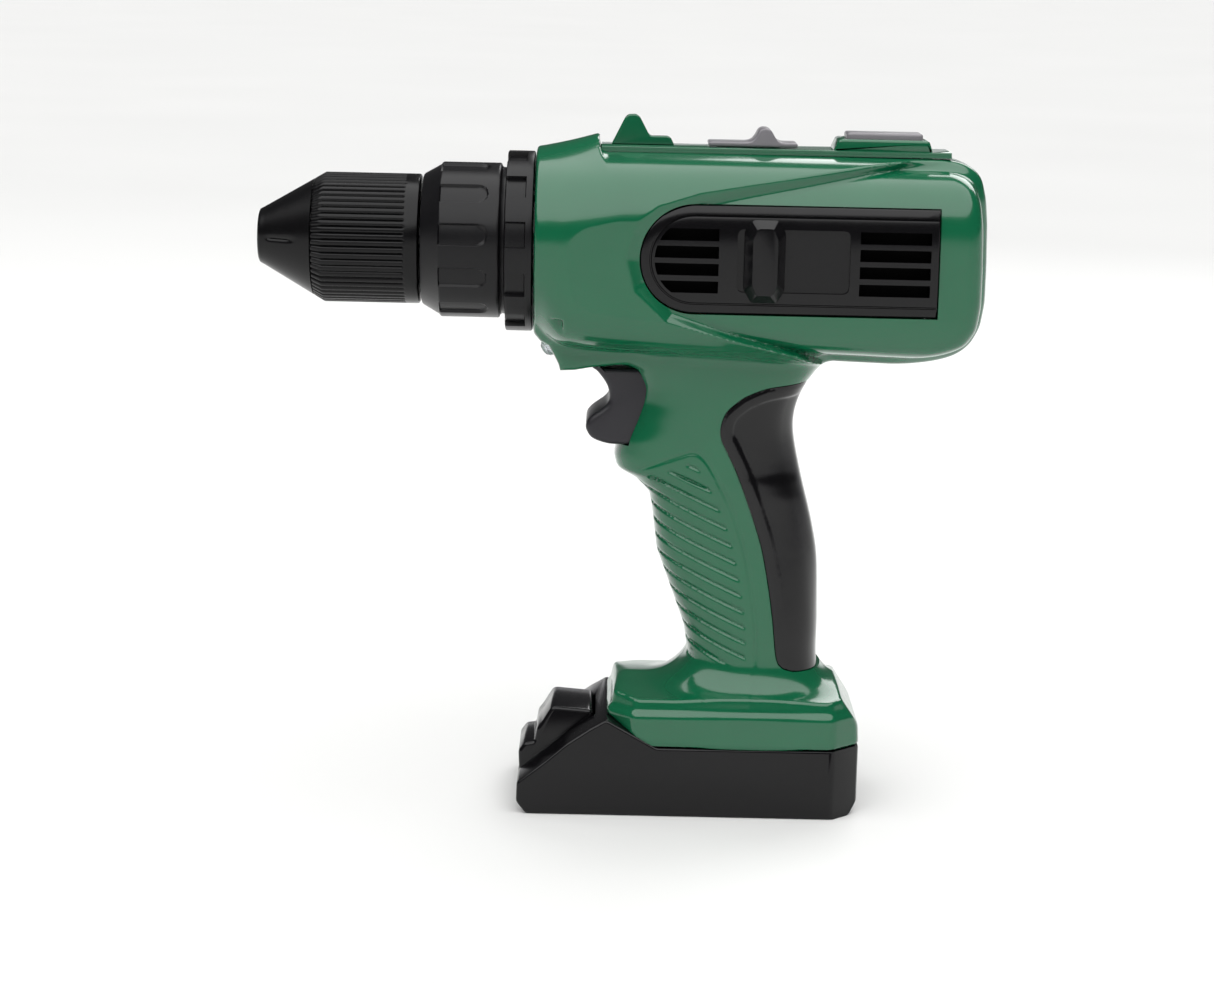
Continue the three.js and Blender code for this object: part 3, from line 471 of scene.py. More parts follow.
def block(name, low, high, radius=0.0, axis="z"):
    k = "xyz".index(axis)
    i, j = {"x": (1, 2), "y": (0, 2), "z": (0, 1)}[axis]
    corners = [(low[i], low[j]), (high[i], low[j]), (high[i], high[j]), (low[i], high[j])]
    outline = fillet(corners, radius) if radius else corners
    return prism(name, outline, low[k], high[k], axis, radius)


def rod(name, radius, low, high, axis, centre, sides=32):
    turn = np.linspace(0, 2 * math.pi, sides, endpoint=False)
    outline = np.stack([np.cos(turn), np.sin(turn)], 1) * radius + np.asarray(centre, float)
    return prism(name, outline, low, high, axis)


def pins(name, profile, places, sides=40):
    # (y, radius) pairs carried round a line along Y at every (x, z) place, all in one mesh
    turn = np.linspace(0, 2 * math.pi, sides, endpoint=False)
    points, faces = [], []
    for x, z in places:
        first = len(points) * sides
        for y, r in profile:
            points.append(np.stack([x + r * np.cos(turn), np.full(sides, y), z + r * np.sin(turn)], 1))
        last = len(points) * sides - sides
        faces += [[v + first for v in face] for face in tubeFaces(len(profile), sides)]
        faces += [[first + i for i in range(sides)][::-1], [last + i for i in range(sides)]]
    return newMesh(name, np.concatenate(points), faces)


def turned(name, profile, angles, shape=None):
    # a closed run of (x, radius) pairs carried round the chuck axis; shape(x, radius, angle) may
    # change the radius over the grid
    x, r = np.asarray(profile, float).T
    x, r, angle = x[:, None], r[:, None], np.asarray(angles)[None, :]
    radius = shape(x, r, angle) if shape else r + 0 * angle
    points = np.stack([x + 0 * angle, -radius * np.cos(angle), axisHeight + radius * np.sin(angle)], -1)
    return newMesh(name, points.reshape(-1, 3), tubeFaces(len(x), angle.size, loop=True))


def rise(value, start, end):  # 0 before start, 1 after end, an even S between
    t = np.clip((value - start) / (end - start), 0, 1)
    return t * t * (3 - 2 * t)


# ---- surfaces of fields: a field is a function of x, y, z that is below 0 inside the piece


def softMin(a, b, r):
    return np.minimum(a, b) - np.maximum(r - np.abs(a - b), 0) ** 2 / (4 * r)


def softMax(a, b, r):
    return -softMin(-a, -b, r)


def settled(solid):
    # where a grid square has solid corners only at one diagonal pair, both are let go, so that the
    # surface never touches itself along an edge
    for _ in range(8):
        found = False
        for u, v in ((0, 1), (0, 2), (1, 2)):
            s = np.moveaxis(solid, (u, v), (0, 1))
            corners = s[:-1, :-1], s[1:, :-1], s[1:, 1:], s[:-1, 1:]
            a, b, c, d = corners
            twist = (a == c) & (b == d) & (a != b)
            if twist.any():
                found = True
                for corner in corners:
                    corner &= ~twist
        if not found:
            break
    return solid


def spaced(low, high, cell, fine=()):
    # even steps from low to high, with shorter ones inside each fine span (from, to, step)
    runs, at = [], low
    for a, b, short in fine:
        runs += [np.arange(at, a - 0.3 * cell, cell), np.arange(a, b, short)]
        at = b
    return np.concatenate(runs + [np.arange(at, high + cell, cell)])


def fieldMesh(name, field, low, high, cell, fine=((), (), ())):
    # one point in every grid cell that the surface crosses, at the mean of the crossed cell edges,
    # then moved along the field's own slope until it lies on the surface
    def kept(x, y, z):  # the field, closed off one cell inside the grid
        ends = [np.maximum(a + cell - v, v - b + cell) for v, a, b in zip((x, y, z), low, high)]
        return np.maximum(field(x, y, z), np.maximum(np.maximum(ends[0], ends[1]), ends[2]))

    axes = [spaced(a, b, cell, f) for a, b, f in zip(low, high, fine)]
    grid = np.meshgrid(*axes, indexing="ij", sparse=True)
    value = np.broadcast_to(kept(*grid), [len(a) for a in axes]).astype(np.float32)
    solid = settled(value < 0)
    value = np.where(solid, np.minimum(value, -1e-3), np.maximum(value, 1e-3))
    count = sum(solid[i:i - 1 or None, j:j - 1 or None, k:k - 1 or None].astype(np.int8)
                for i in (0, 1) for j in (0, 1) for k in (0, 1))
    crossed = (count > 0) & (count < 8)
    spot = np.argwhere(crossed)
    number = np.full(crossed.shape, -1, np.int32)
    number[crossed] = np.arange(len(spot))
    corners = np.array([(i, j, k) for i in (0, 1) for j in (0, 1) for k in (0, 1)])
    at = [value[tuple((spot + c).T)] for c in corners]
    total, hits = np.zeros((len(spot), 3)), np.zeros(len(spot))
    for a in range(8):
        for b in range(a + 1, 8):
            if np.abs(corners[a] - corners[b]).sum() != 1:
                continue
            cross = (at[a] < 0) != (at[b] < 0)
            share = at[a] / np.where(cross, at[a] - at[b], 1)
            total += np.where(cross[:, None], corners[a] + share[:, None] * (corners[b] - corners[a]), 0)
            hits += cross
    part = total / hits[:, None]
    point = np.stack([a[n] + t * (a[n + 1] - a[n]) for a, n, t in zip(axes, spot.T, part.T)], 1)
    for _ in range(4):
        f = kept(*point.T)
        slope = np.stack([(kept(*(point + d).T) - kept(*(point - d).T)) / 0.2
                          for d in np.eye(3) * 0.1], 1)
        size = np.maximum((slope**2).sum(1), 0.04)
        point -= slope * np.clip(f / size, -0.5 * cell, 0.5 * cell)[:, None]
    faces = []
    for axis in range(3):
        u, v = [a for a in range(3) if a != axis]
        here = [slice(None)] * 3
        here[axis] = slice(0, -1)
        ahead = [slice(None)] * 3
        ahead[axis] = slice(1, None)
        change = solid[tuple(here)].astype(np.int8) - solid[tuple(ahead)].astype(np.int8)
        edge = np.argwhere(change != 0)
        sign = change[tuple(edge.T)]
        keep = (edge[:, u] > 0) & (edge[:, v] > 0)
        keep &= (edge[:, u] < crossed.shape[u]) & (edge[:, v] < crossed.shape[v])
        edge, sign = edge[keep], sign[keep]
        du, dv = np.eye(3, dtype=int)[u], np.eye(3, dtype=int)[v]
        quad = np.stack([number[tuple((edge - a * du - b * dv).T)]
                         for a, b in ((1, 1), (0, 1), (0, 0), (1, 0))], 1)
        flip = sign < 0 if axis != 1 else sign > 0
        quad[flip] = quad[flip][:, ::-1]
        faces.append(quad)
    return newMesh(name, point, np.concatenate(faces).tolist())


def evenTable(knots, values, spread):
    # straight runs between knots, with each corner rounded over about two spreads
    dense = np.arange(knots[0] - 8 * spread, knots[-1] + 8 * spread, 0.2)
    reach = np.arange(-3 * spread, 3 * spread + 0.2, 0.2)
    weight = np.exp(-0.5 * (reach / spread) ** 2)
    run = np.interp(dense, knots, values)
    pad = len(reach) // 2
    run = np.convolve(np.pad(run, pad, "edge"), weight / weight.sum(), "same")[pad:-pad]
    return lambda q: np.interp(q, dense, run)


def ovalField(u, v, halfU, halfV, power):
    # |u/halfU|^power + |v/halfV|^power = 1, divided by its slope so that it reads as a distance
    a, b = np.abs(u) / halfU + 1e-4, np.abs(v) / halfV + 1e-4
    s = (a**power + b**power) ** (1 / power)
    slope = s ** (1 - power) * np.sqrt((a ** (power - 1) / halfU) ** 2 + (b ** (power - 1) / halfV) ** 2)
    return (s - 1) / np.maximum(slope, 1e-3)


def outlineField(px, pz, points):
    # distance to a closed outline, below 0 inside: least distance to its sides, signed by crossings
    p = np.asarray(points, float)
    best, odd = None, np.zeros(np.broadcast(px, pz).shape, bool)
    for a, b in zip(p, np.roll(p, -1, 0)):
        side = b - a
        t = np.clip(((px - a[0]) * side[0] + (pz - a[1]) * side[1]) / (side @ side), 0, 1)
        d = np.hypot(px - a[0] - t * side[0], pz - a[1] - t * side[1])
        best = d if best is None else np.minimum(best, d)
        if abs(side[1]) > 1e-9:
            over = (a[1] > pz) != (b[1] > pz)
            odd ^= over & (px < a[0] + (pz - a[1]) * side[0] / side[1])
    return np.where(odd, -best, best)


def pathReach(px, pz, points, extra=None):
    # least distance to an open path, and the share-weighted extra value at the nearest point
    p = np.asarray(points, float)
    best = np.full(np.broadcast(px, pz).shape, 1e9)
    value = np.zeros_like(best)
    for i in range(len(p) - 1):
        side = p[i + 1] - p[i]
        t = np.clip(((px - p[i][0]) * side[0] + (pz - p[i][1]) * side[1]) / (side @ side), 0, 1)
        d = np.hypot(px - p[i][0] - t * side[0], pz - p[i][1] - t * side[1])
        if extra is not None:
            value = np.where(d < best, extra[i] + t * (extra[i + 1] - extra[i]), value)
        best = np.minimum(best, d)
    return best, value


# ---- housing

shellLow, shellHigh = boxOf("left_shell")
panelLow, panelHigh = boxOf("left_vent_panel")
railLow, railHigh = boxOf("top_rail")
barrelFront, barrelBack = -47.0, shellHigh[0]
panelMiddle = (panelLow[2] + panelHigh[2]) / 2
panelRadius = (panelHigh[2] - panelLow[2]) / 2
roundCentre = panelLow[0] + panelRadius

body = {
    "cell": 0.75,  # grid of the outer skin, with closer steps where the grooves and the lip run
    "fine": (((-46.0, -16.0, 0.55), (-16.0, 20.0, 0.4), (20.0, 74.0, 0.55)), (),
             ((41.0, 106.5, 0.4), (126.0, 146.0, 0.44), (168.0, 190.0, 0.5))),
    "wall": 2.2,
    "seam": 0.3,
    "blend": 3.6,  # barrel into handle
    "flare": 9.0,  # handle into foot
    # barrel rings: x, top and bottom over the axis, half width, squareness
    "rings": ((-47, 26.3, -26.4, 26.3, 2.1), (-40, 26.8, -27.8, 28.0, 2.2), (-33, 27.1, -28.6, 28.8, 2.35),
              (-24, 27.1, -29.1, 29, 2.6), (0, 27.0, -30.2, 29, 2.8), (30, 26.8, -31.4, 29, 3.0),
              (57, 26.6, -32.2, 29, 3.1), (85, 26.4, -32.4, 29, 3.1)),
    "lowerSquare": 1.9,  # the lower corners are tighter by this much
    "hump": (-29.2, 31.3, 9.0),  # back end, height over the axis there, half width of the crown
    "crown": 2.5,  # how far the crown falls over that half width
    "notch": (-38.4, 143.2, 24.0),  # lower front corner: rear end, top, half width left standing
    # back of the barrel: height over the axis, x
    "rear": ((-35, 60), (-32.6, 67), (-30, 72.8), (-26, 77.6), (-21, 80.2), (-14, 81.3), (-4, 81.3),
             (8.4, 81), (15.2, 80.4), (20.4, 79.2), (24, 77.2), (26.6, 74.8), (28.6, 72)),
    # handle rings: height, front x, back x, half width
    "handle": ((32, -5, 39.5, 19.8), (38, -3.2, 38, 19.2), (44.5, -0.6, 36.8, 18.6), (52, -1.8, 37.2, 18.6),
               (74.5, -10.3, 36.5, 18), (86.7, -11.9, 33.9, 18.1), (91.6, -13, 32.4, 18.4),
               (96.4, -18, 31.1, 18.6), (98.2, -22.4, 30.8, 18.6), (102, -23.3, 29.8, 18.6),
               (107.7, -22, 28.6, 18.6), (112.7, -19.8, 27.8, 18.6), (118, -17.9, 28.8, 18.6),
               (122.5, -17.4, 30.4, 18.6), (126.4, -19.4, 32.8, 18.6), (131, -23, 38, 18.6),
               (142, -25, 38.4, 18.6)),
    "squareness": 2.8,
    "chin": ((-46.6, 138), (-44.9, 135.4), (-42.6, 134.1), (-40.9, 131.2), (-39.6, 128.6), (-39.2, 126.9),
             (-35, 127.1), (-31, 127.9), (-14, 129.9), (-14, 146), (-46.6, 146)),
    "chinHalf": 14.0,
    # the raised front skin ends along this edge: x, height, width of the slope behind it
    "step": ((72, 190.6, 1.6), (63.1, 189.3, 1.9), (45.8, 187.3, 2.4), (31.5, 184.9, 2.7), (12, 181.7, 3.0),
             (-1, 179.4, 3.3), (-12.6, 175.6, 4.2), (-20.6, 169.3, 5.4), (-23.6, 161.1, 6.2),
             (-20.2, 151.4, 5.0), (-9.5, 143.2, 2.2), (7.9, 138.6, 1.0), (27.8, 133.6, 0.9),
             (38.6, 128.9, 0.9), (46, 126, 0.9)),
    "stepDepth": 2.7,
    "lip": 0.45,
    "spigot": (-72.0, -46.0, 13.0, 7.1),  # the collar turns on this: both ends, outer radius, bore
    # foot: top, half width, front, back, how far the corners are cut, and floor
    "footTop": 38.2, "footHalf": 26.0, "footFront": -24.1, "footBack": 49.3, "footCorner": 8.0,
    "footFloor": shellLow[2],
}
gripTexture = {
    "outline": ((-15.5, 99.4), (-12.7, 100.7), (-4.7, 104), (-0.4, 105), (2.8, 102.9), (6, 97.9),
                (9.3, 91.7), (12.6, 83.6), (15.4, 73.5), (17.3, 63.3), (18.6, 52.5), (18.9, 40.5)),
    "crease": 0.3,
    "creaseWidth": 0.55,
    "grooves": 14,
    "first": (2.8, 99.4),  # rear end of the top groove
    "pitch": 4.36,
    "fall": 24.0,  # degrees down to the rear
    "depth": 0.5,
    "width": 0.42,
    "margin": 3.2,
}
gripPatch = {
    "outline": ((38, 127.5), (31.4, 124.9), (20.7, 123.7), (14.6, 121.6), (11.6, 119.7), (8.5, 116.8),
                (7.1, 113), (7.2, 109.3), (8.9, 105.6), (12.2, 98.7), (16.9, 86.2), (19.7, 77.4),
                (21.8, 67.2), (23.4, 57), (24.7, 46.2), (26.4, 43), (29.6, 41.7)),
    "thick": 2.0,
    "rim": 3.4,
    "rimDrop": 0.8,
}
# x and height of the eight screw posts
posts = ((-37, 182.5), (24, 183.1), (68.8, 181.1), (67.3, 140), (-4.5, 87.5), (28, 52), (-12, 30), (39.3, 30))

ringTable = [np.array(c, float) for c in zip(*body["rings"])]
barrelTop, barrelBottom, barrelWide, barrelSquare = [evenTable(ringTable[0], c, 0.9) for c in ringTable[1:]]
rearTable = [np.array(c, float) for c in zip(*body["rear"])]
rearEdge = evenTable(rearTable[0] + axisHeight, rearTable[1], 1.2)
gripTable = [np.array(c, float) for c in zip(*body["handle"])]
handleFront, handleBack, handleWide = [evenTable(gripTable[0], c, w)
                                       for c, w in zip(gripTable[1:], (0.8, 3.4, 2.0))]


def barrelField(x, y, z, inset=0.0):
    top, bottom = barrelTop(x) + axisHeight, barrelBottom(x) + axisHeight
    over = z - (top + bottom) / 2
    square = barrelSquare(x) + body["lowerSquare"] * rise(-over, 0, 14) * rise(x, -47, -37)
    section = ovalField(y, over, barrelWide(x), (top - bottom) / 2, square)
    lean = rearEdge(z + 0.5) - rearEdge(z - 0.5)
    rear = (x - rearEdge(z)) / np.sqrt(1 + lean**2)
    return softMax(softMax(section, rear, 5.5) + inset, barrelFront - x + inset, 1.0)


def handleField(x, y, z, inset=0.0):
    front, back = handleFront(z), handleBack(z)
    section = ovalField(x - (front + back) / 2, y, (back - front) / 2, handleWide(z), body["squareness"])
    lean = (handleFront(z + 0.5) - handleFront(z - 0.5)) * (x < (front + back) / 2)
    return section / np.sqrt(1 + lean**2) + inset


def footField(x, y, z):
    s = body
    side = np.abs(y) - s["footHalf"]
    plan = softMax(softMax(side, softMax(s["footFront"] - x, x - s["footBack"], 1), 1.2),
                   ((np.abs(y) - s["footHalf"] + np.maximum(s["footFront"] + s["footCorner"] - x,
                     x - s["footBack"] + s["footCorner"])) / 1.414), 1.2)
    upper = z - s["footTop"]
    band = z - 34.2 + (np.abs(y) - 22.6) * 0.14  # shallow top that falls to the sides
    # a bright ledge runs round the side, and a steep face stands back from it up to the top
    ledge = softMax((z - 29.2) * 0.59 + (plan + 0.1) * 0.806, z - 31.0, 0.3)
    steep = (z - 34.2) * 0.207 + (plan + 2.1) * 0.978
    front = (z - 34.6) * 0.61 - (x + 22.6) * 0.79
    nose = (z - 36.4) * 0.86 - (x + 20.2) * 0.5
    back = (z - 35.8) * 0.55 + (x - 43.0) * 0.835
    lower = -(z - 28.6) * 0.85 - (x + 24.0) * 0.52  # the skirt climbs forwards
    shape = softMin(softMax(plan, ledge, 0.5), softMax(softMax(upper, band, 3.0), steep, 0.5), 0.3)
    for face in (front, nose, back, s["footFloor"] - z, lower):
        shape = softMax(shape, face, 0.9)
    return softMax(plan, shape, 0.9)


stepPath = np.array(body["step"])[:, :2]
stepSlope = np.array(body["step"])[:, 2]
stepRegion = np.concatenate([stepPath, [(110, 120), (110, 200)]])


def stepDrop(x, z):
    # 0 on the raised skin, the full drop on the rear body, an even slope with soft ends between
    inside = outlineField(x, z, stepRegion) < 0
    reach, slope = pathReach(x, z, stepPath, stepSlope)
    start = np.sqrt(reach**2 + 0.25) - 0.5
    drop = body["stepDepth"] * softMin(start / np.maximum(slope, 0.5), 1.0, 0.25)
    edge = body["lip"] * np.exp(-((reach / 1.3) ** 2)) * rise(x, -16, 16) * rise(-z, -150, -140)
    return np.where(inside, drop, 0) - edge * np.where(inside, np.exp(-reach * 2), 1)


texturePath = throughPoints(gripTexture["outline"], 4, closed=False)
textureRegion = np.concatenate([texturePath, [(-40, 40), (-40, 99)]])


def textureDrop(x, z):
    s = gripTexture
    reach, _ = pathReach(x, z, texturePath)
    inside = outlineField(x, z, textureRegion)
    crease = s["crease"] * np.exp(-((reach / s["creaseWidth"]) ** 2))
    fall = math.radians(s["fall"])
    across = (s["first"][1] - z) * math.cos(fall) - (x - s["first"][0]) * math.sin(fall)
    pitch = s["pitch"] * math.cos(fall)
    number = np.round(across / pitch)
    off = np.abs(across - number * pitch)
    line = np.exp(-((off / s["width"]) ** 2))
    ends = rise(-inside, s["margin"] - 0.6, s["margin"] + 0.4)
    use = (number >= 0) & (number < s["grooves"])
    return (crease + s["depth"] * line * ends * use) * rise(z, 42, 46)


def notchField(x, y, z):
    back, top, half = body["notch"]
    return softMax(softMax(x - back, z - top, 1.0), half - np.abs(y), 1.0)


def outerField(x, y, z):
    handle = handleField(x, y, z)
    barrel = barrelField(x, y, z) + stepDrop(x, z) * rise(np.abs(y), 8, 13)
    back, top, half = body["hump"]
    slope = (top - body["rings"][0][1]) / (back - barrelFront)
    hump = z - axisHeight - top - slope * (x - back) + body["crown"] * (y / half) ** 2
    hump = softMax(softMax(hump, x - back, 0.8), axisHeight + 15 - z, 1)
    barrel = softMax(softMin(barrel, hump, 3.0), -notchField(x, y, z), 0.8)
    chin = softMax(outlineField(x, z, body["chin"]), np.abs(y) - body["chinHalf"], 2.5)
    handle = softMax(handle, z - 150, 1) + textureDrop(x, z) * (np.abs(y) > 5)
    handle = softMax(handle, 24 - z, 1)
    joined = softMin(softMin(barrel, handle, body["blend"]), chin, 3.0)
    joined = softMax(joined, barrelFront - x, 1.0)
    return softMin(joined, footField(x, y, z), body["flare"] * rise(-z, -60, -40) + 0.5)


def cavityField(x, y, z):
    wall = body["wall"]
    room = barrelField(x, y, z, wall + 1.4)
    handle = softMax(handleField(x, y, z, wall + gripPatch["thick"]), softMax(26 - z, z - 150, 1), 1)
    level = softMax(18 - z, z - 31.5, 1)
    foot = softMax(softMax(-16 - x, x - 41.5, 1), softMax(np.abs(y) - 21.6, level, 1), 1)
    room = softMin(softMin(room, handle, 2.0), foot, 2.0)
    for px, pz in posts:
        room = softMax(room, 3.3 - np.hypot(x - px, z - pz), 0.6)
    return room


print("housing fields ready")


def stadium(grow, centre, back, radius, end=None, count=40):
    # round front of the given radius, straight sides and a square back, all moved out by grow
    r = radius + grow
    turn = np.linspace(0.5 * math.pi, 1.5 * math.pi, count)
    arc = np.stack([centre + r * np.cos(turn), panelMiddle + r * np.sin(turn)], 1)
    run = np.linspace(0, 1, 24)[1:]
    end = back + grow if end is None else end
    lower = np.stack([centre + run * (end - centre), np.full(len(run), panelMiddle - r)], 1)
    up = np.linspace(-1, 1, 16)[1:]
    square = np.stack([np.full(len(up), end), panelMiddle + r * up], 1)
    upper = np.stack([end + run * (centre - end), np.full(len(run), panelMiddle + r)], 1)[:-1]
    return np.concatenate([arc, lower, square, upper])


def gripRegion(grow):
    path = throughPoints(gripPatch["outline"], 5, closed=False)
    return inward(np.concatenate([path, [(56, 41.2), (56, 127.5)]]), -grow)


def makeShells():
    cell = body["cell"]
    low = (barrelFront - 1.5, shellLow[1] - 1, body["footFloor"] - 1.5)
    high = (barrelBack + 1.5, 1.6, shellHigh[2] + 1.5)
    left = fieldMesh("left_shell_skin", outerField, low, high, cell, body["fine"])
    cavity = fieldMesh("room", cavityField, (-50, -30, 16), (84, 30, 196), 1.7)
    left = solidStep(left, cavity)
    seam = body["seam"]
    hole = stadium(seam, roundCentre, panelHigh[0], panelRadius)
    left = solidStep(left, prism("panelHole", hole, -34, -22))
    left = solidStep(left, block("railSeat", (railLow[0] - seam, -9.3, axisHeight + 26.3),
                                 (railHigh[0] + seam, 9.3, axisHeight + 45)))
    left = solidStep(left, block("railWell", (-8.5, -6, axisHeight + 20), (65, 6, axisHeight + 27)))
    left = solidStep(left, block("triggerSlot", (-60, -12.4, 105.6), (0, 12.4, 128.2)))
    a, b, outer, bore = body["spigot"]
    left = solidStep(left, rod("spigot", outer, a, b, "x", (0, axisHeight), 64), "UNION")
    left = solidStep(left, rod("bore", bore, a - 3, barrelFront + 9, "x", (0, axisHeight), 48))
    seat = prism("seat", gripRegion(seam), -34, 34)
    core = fieldMesh("core", lambda x, y, z: softMax(handleField(x, y, z, gripPatch["thick"] + seam),
                     softMax(36 - z, z - 132, 0.5), 0.5), (-8, -22, 34), (42, 22, 134), 1.2)
    left = solidStep(left, solidStep(seat, core))
    lamp = rod("lamp", 3.1, -14, 6, "z", (0, 0))
    lamp.data.transform(lampPlace())
    left = solidStep(left, lamp)
    left = solidStep(left, block("half", (-90, -90, -20), (120, -seam / 2, 260)), "INTERSECT")
    right = copyOf(left, "right_shell_skin", mirrored=True)
    right = solidStep(right, pins("wells", [(-1, 1.5), (9, 1.5), (9.05, 2.6), (40, 2.6)], posts))
    left = solidStep(left, pins("pilots", [(-10, 1.4), (1, 1.4)], posts))
    show(left, "housing", look["greenGloss"], ["left_shell"])
    show(right, "housing", look["greenGloss"], ["right_shell"])


def lampPlace():  # puts a piece made round Z on the lamp's own line, which looks forwards and down
    spot = Vector((-41.9, 0, axisHeight - 29.8)) * mm
    turn = Vector((0, 0, 1)).rotation_difference(Vector((-0.8, 0, -0.6)))
    return Matrix.Translation(spot) @ turn.to_matrix().to_4x4()


# ---- rear grip


def makeRearGrip():
    s = gripPatch
    path = throughPoints(s["outline"], 5, closed=False)

    def skin(x, y, z):
        reach, _ = pathReach(x, z, path)
        side = rise(np.abs(y), 6, 12)
        depth = s["rimDrop"] * rise(z, 52, 88)
        drop = depth * rise(reach, s["rim"] - 0.5, s["rim"] + 0.5) * side
        edge = 0.35 * np.exp(-((reach / 0.6) ** 2))
        depth = handleField(x, y, z)
        solid = softMax(depth + drop + edge, 0.3 - barrelField(x, y, z), 0.5)
        return softMax(solid, -depth - s["thick"], 0.3)

    grip = fieldMesh("rear_grip_skin", skin, (-2, -21, 39), (43, 21, 131), 0.62)
    grip = solidStep(grip, prism("patch", gripRegion(0.0), -34, 34), "INTERSECT")
    show(grip, "housing", look["gripBlack"], ["rear_grip"])


# ---- vent panels and the direction slider

vent = {
    "face": 26.9,
    "back": 22.6,
    "rim": 2.6,
    "groove": 0.4,
    "crown": 0.5,
    "slotZ": (7.0, 2.15, -2.65, -7.55),  # over the panel's middle
    "slotHalf": 1.68,
    "frontEnd": 4.6,  # where the front slots have their flat end
    "rearSlots": (43.8, 63.5),
    "track": (9.7, 41.1, 8.8, 1.0),  # front, back, half height, depth
    "block": (11.7, 23.0, 11.55, 3.4),  # front, back, half height, how far it stands out
}


def sideCurve(z):  # how far out the side face stands at a height
    bend = np.abs(z - panelMiddle) / 29.0
    return vent["face"] * (1 - bend**3) ** (1 / 3)


def ventPlate(name):
    # rings that follow the outline inwards; each has its own height on the face
    s = vent
    face = s["face"]
    far = panelRadius - 0.25
    inset = [0, 0, 0.12, 0.4, s["rim"] - 0.15, s["rim"], s["rim"] + 0.25, s["rim"] + 0.5, s["rim"] + 0.8]
    level = [0, -0.4, -0.12, 0, 0, -s["groove"], -s["groove"], -0.05, 0]
    run = np.linspace(0.12, 1, 12)
    inset = np.r_[inset, s["rim"] + 0.8 + run * (far - s["rim"] - 0.8)]
    level = np.r_[level, s["crown"] * (1 - (1 - run) ** 2)]
    rings = []
    for d, h in zip(inset, level):
        ring = stadium(-d, roundCentre, panelHigh[0], panelRadius, panelHigh[0] - min(d, 0.4))
        depth = s["back"] if not rings else sideCurve(ring[:, 1]) + h
        rings.append(np.stack([ring[:, 0], 0 * ring[:, 0] - depth, ring[:, 1]], 1))
    return capped(name, np.array(rings))


def shade(plate, material, depth):
    # the faces on the floors of the slots take a second material, near-black and matte: painted shade
    # standing in for the dark inside deep slots
    mesh = plate.data
    mesh.materials.append(material)
    count = len(mesh.polygons)
    centre, normal = np.empty(count * 3), np.empty(count * 3)
    mesh.polygons.foreach_get("center", centre)
    mesh.polygons.foreach_get("normal", normal)
    out = np.abs(centre[1::3]) < depth * mm
    facing = normal[1::3] * np.sign(centre[1::3]) > 0.9
    mesh.polygons.foreach_set("material_index", (out & facing).astype(np.int32))


def makeVents():
    s = vent
    face = s["face"]
    plate = ventPlate("left_vent_plate")
    cutters = []
    for level in s["slotZ"]:
        z0 = panelMiddle + level - s["slotHalf"]
        z1 = z0 + 2 * s["slotHalf"]
        z = np.linspace(z0, z1, 5)
        ends = roundCentre - np.sqrt((panelRadius - 3.9) ** 2 - (z - panelMiddle) ** 2)
        front = [(s["frontEnd"], z0), (s["frontEnd"], z1)] + list(zip(ends, z))[::-1]
        a, b = s["rearSlots"]
        cutters += [front, [(a, z0), (b, z0), (b, z1), (a, z1)]]
    for i, outline in enumerate(cutters):
        plate = solidStep(plate, prism("slot", outline, -face - 2, -s["back"] - 0.6))
    a, b, half, deep = s["track"]
    track = fillet([(a, panelMiddle - half), (b, panelMiddle - half),
                    (b, panelMiddle + half), (a, panelMiddle + half)], 2.0)
    plate = solidStep(plate, prism("track", track, -face - 2, -face + deep))
    mirror = copyOf(plate, "right_vent_plate", mirrored=True)
    show(plate, "housing", look["blackGloss"], ["left_vent_panel"])
    # painted shade: the slot floors of this plate take the near-black matte
    shade(plate, look["slotPaintedShade"], s["back"] + 0.9)

    a, b, half, tall = s["block"]
    corners = [(a, -8), (a + 2.1, -half), (b - 2.1, -half), (b, -8),
               (b, 8), (b - 2.1, half), (a + 2.1, half), (a, 8)]
    base = np.array(corners)
    middle = np.array([(a + b) / 2, 0])
    top = (base - middle) * (0.60, 0.80) + middle

    def slider(name, foot):
        # the base outline closes in towards the smaller top outline, as a chamfer with soft ends
        level = [foot, face + 0.9, face + 1.05, face + tall - 0.3, face + tall - 0.06, face + tall]
        share = [0, 0, 0.04, 0.90, 0.97, 1.08]
        rings = []
        for t, h in zip(share, level):
            ring = fillet(base + (top - base) * t + (0, panelMiddle), 0.8, 4)
            rings.append(np.stack([ring[:, 0], np.full(len(ring), -h), ring[:, 1]], 1))
        return capped(name, np.array(rings))

    knob = slider("direction_knob", face + 0.75)
    keel = block("keel", (a + 2, -face - 0.9, panelMiddle - 8.3), (b - 2, -face + 0.7, panelMiddle + 8.3))
    knob = solidStep(knob, keel, "UNION")
    show(knob, "direction_switch", look["blackGloss"], ["direction_slider"])
    fixed = copyOf(slider("fixed", face - 2.0), "fixedRight", mirrored=True)
    mirror = solidStep(mirror, fixed, "UNION")
    show(mirror, "housing", look["blackGloss"], ["right_vent_panel"])
    # painted shade: the slot floors of this plate take the near-black matte
    shade(mirror, look["slotPaintedShade"], s["back"] + 0.9)


# ---- chuck: nose cone, ribbed sleeve, torque collar

coneLow, coneHigh = boxOf("nose_cone")
sleeveLow, sleeveHigh = boxOf("chuck_sleeve")
collarLow, collarHigh = boxOf("torque_collar")
chuck = {
    "rim": 7.9,
    "flats": 9.8,
    "sleeveRadius": 18.5,
    "ribs": 60,
    "ribDeep": 0.55,
    "band": 3.9,
    "bore": 9.4,
    "coneLong": 19.0,
    "slitDeep": 0.7,
    "slitHalf": 0.45,
}


def coneRadius(x):
    tip = coneLow[0]
    return np.interp(x, [tip + 0.8, tip + chuck["coneLong"]], [chuck["rim"], chuck["sleeveRadius"]])


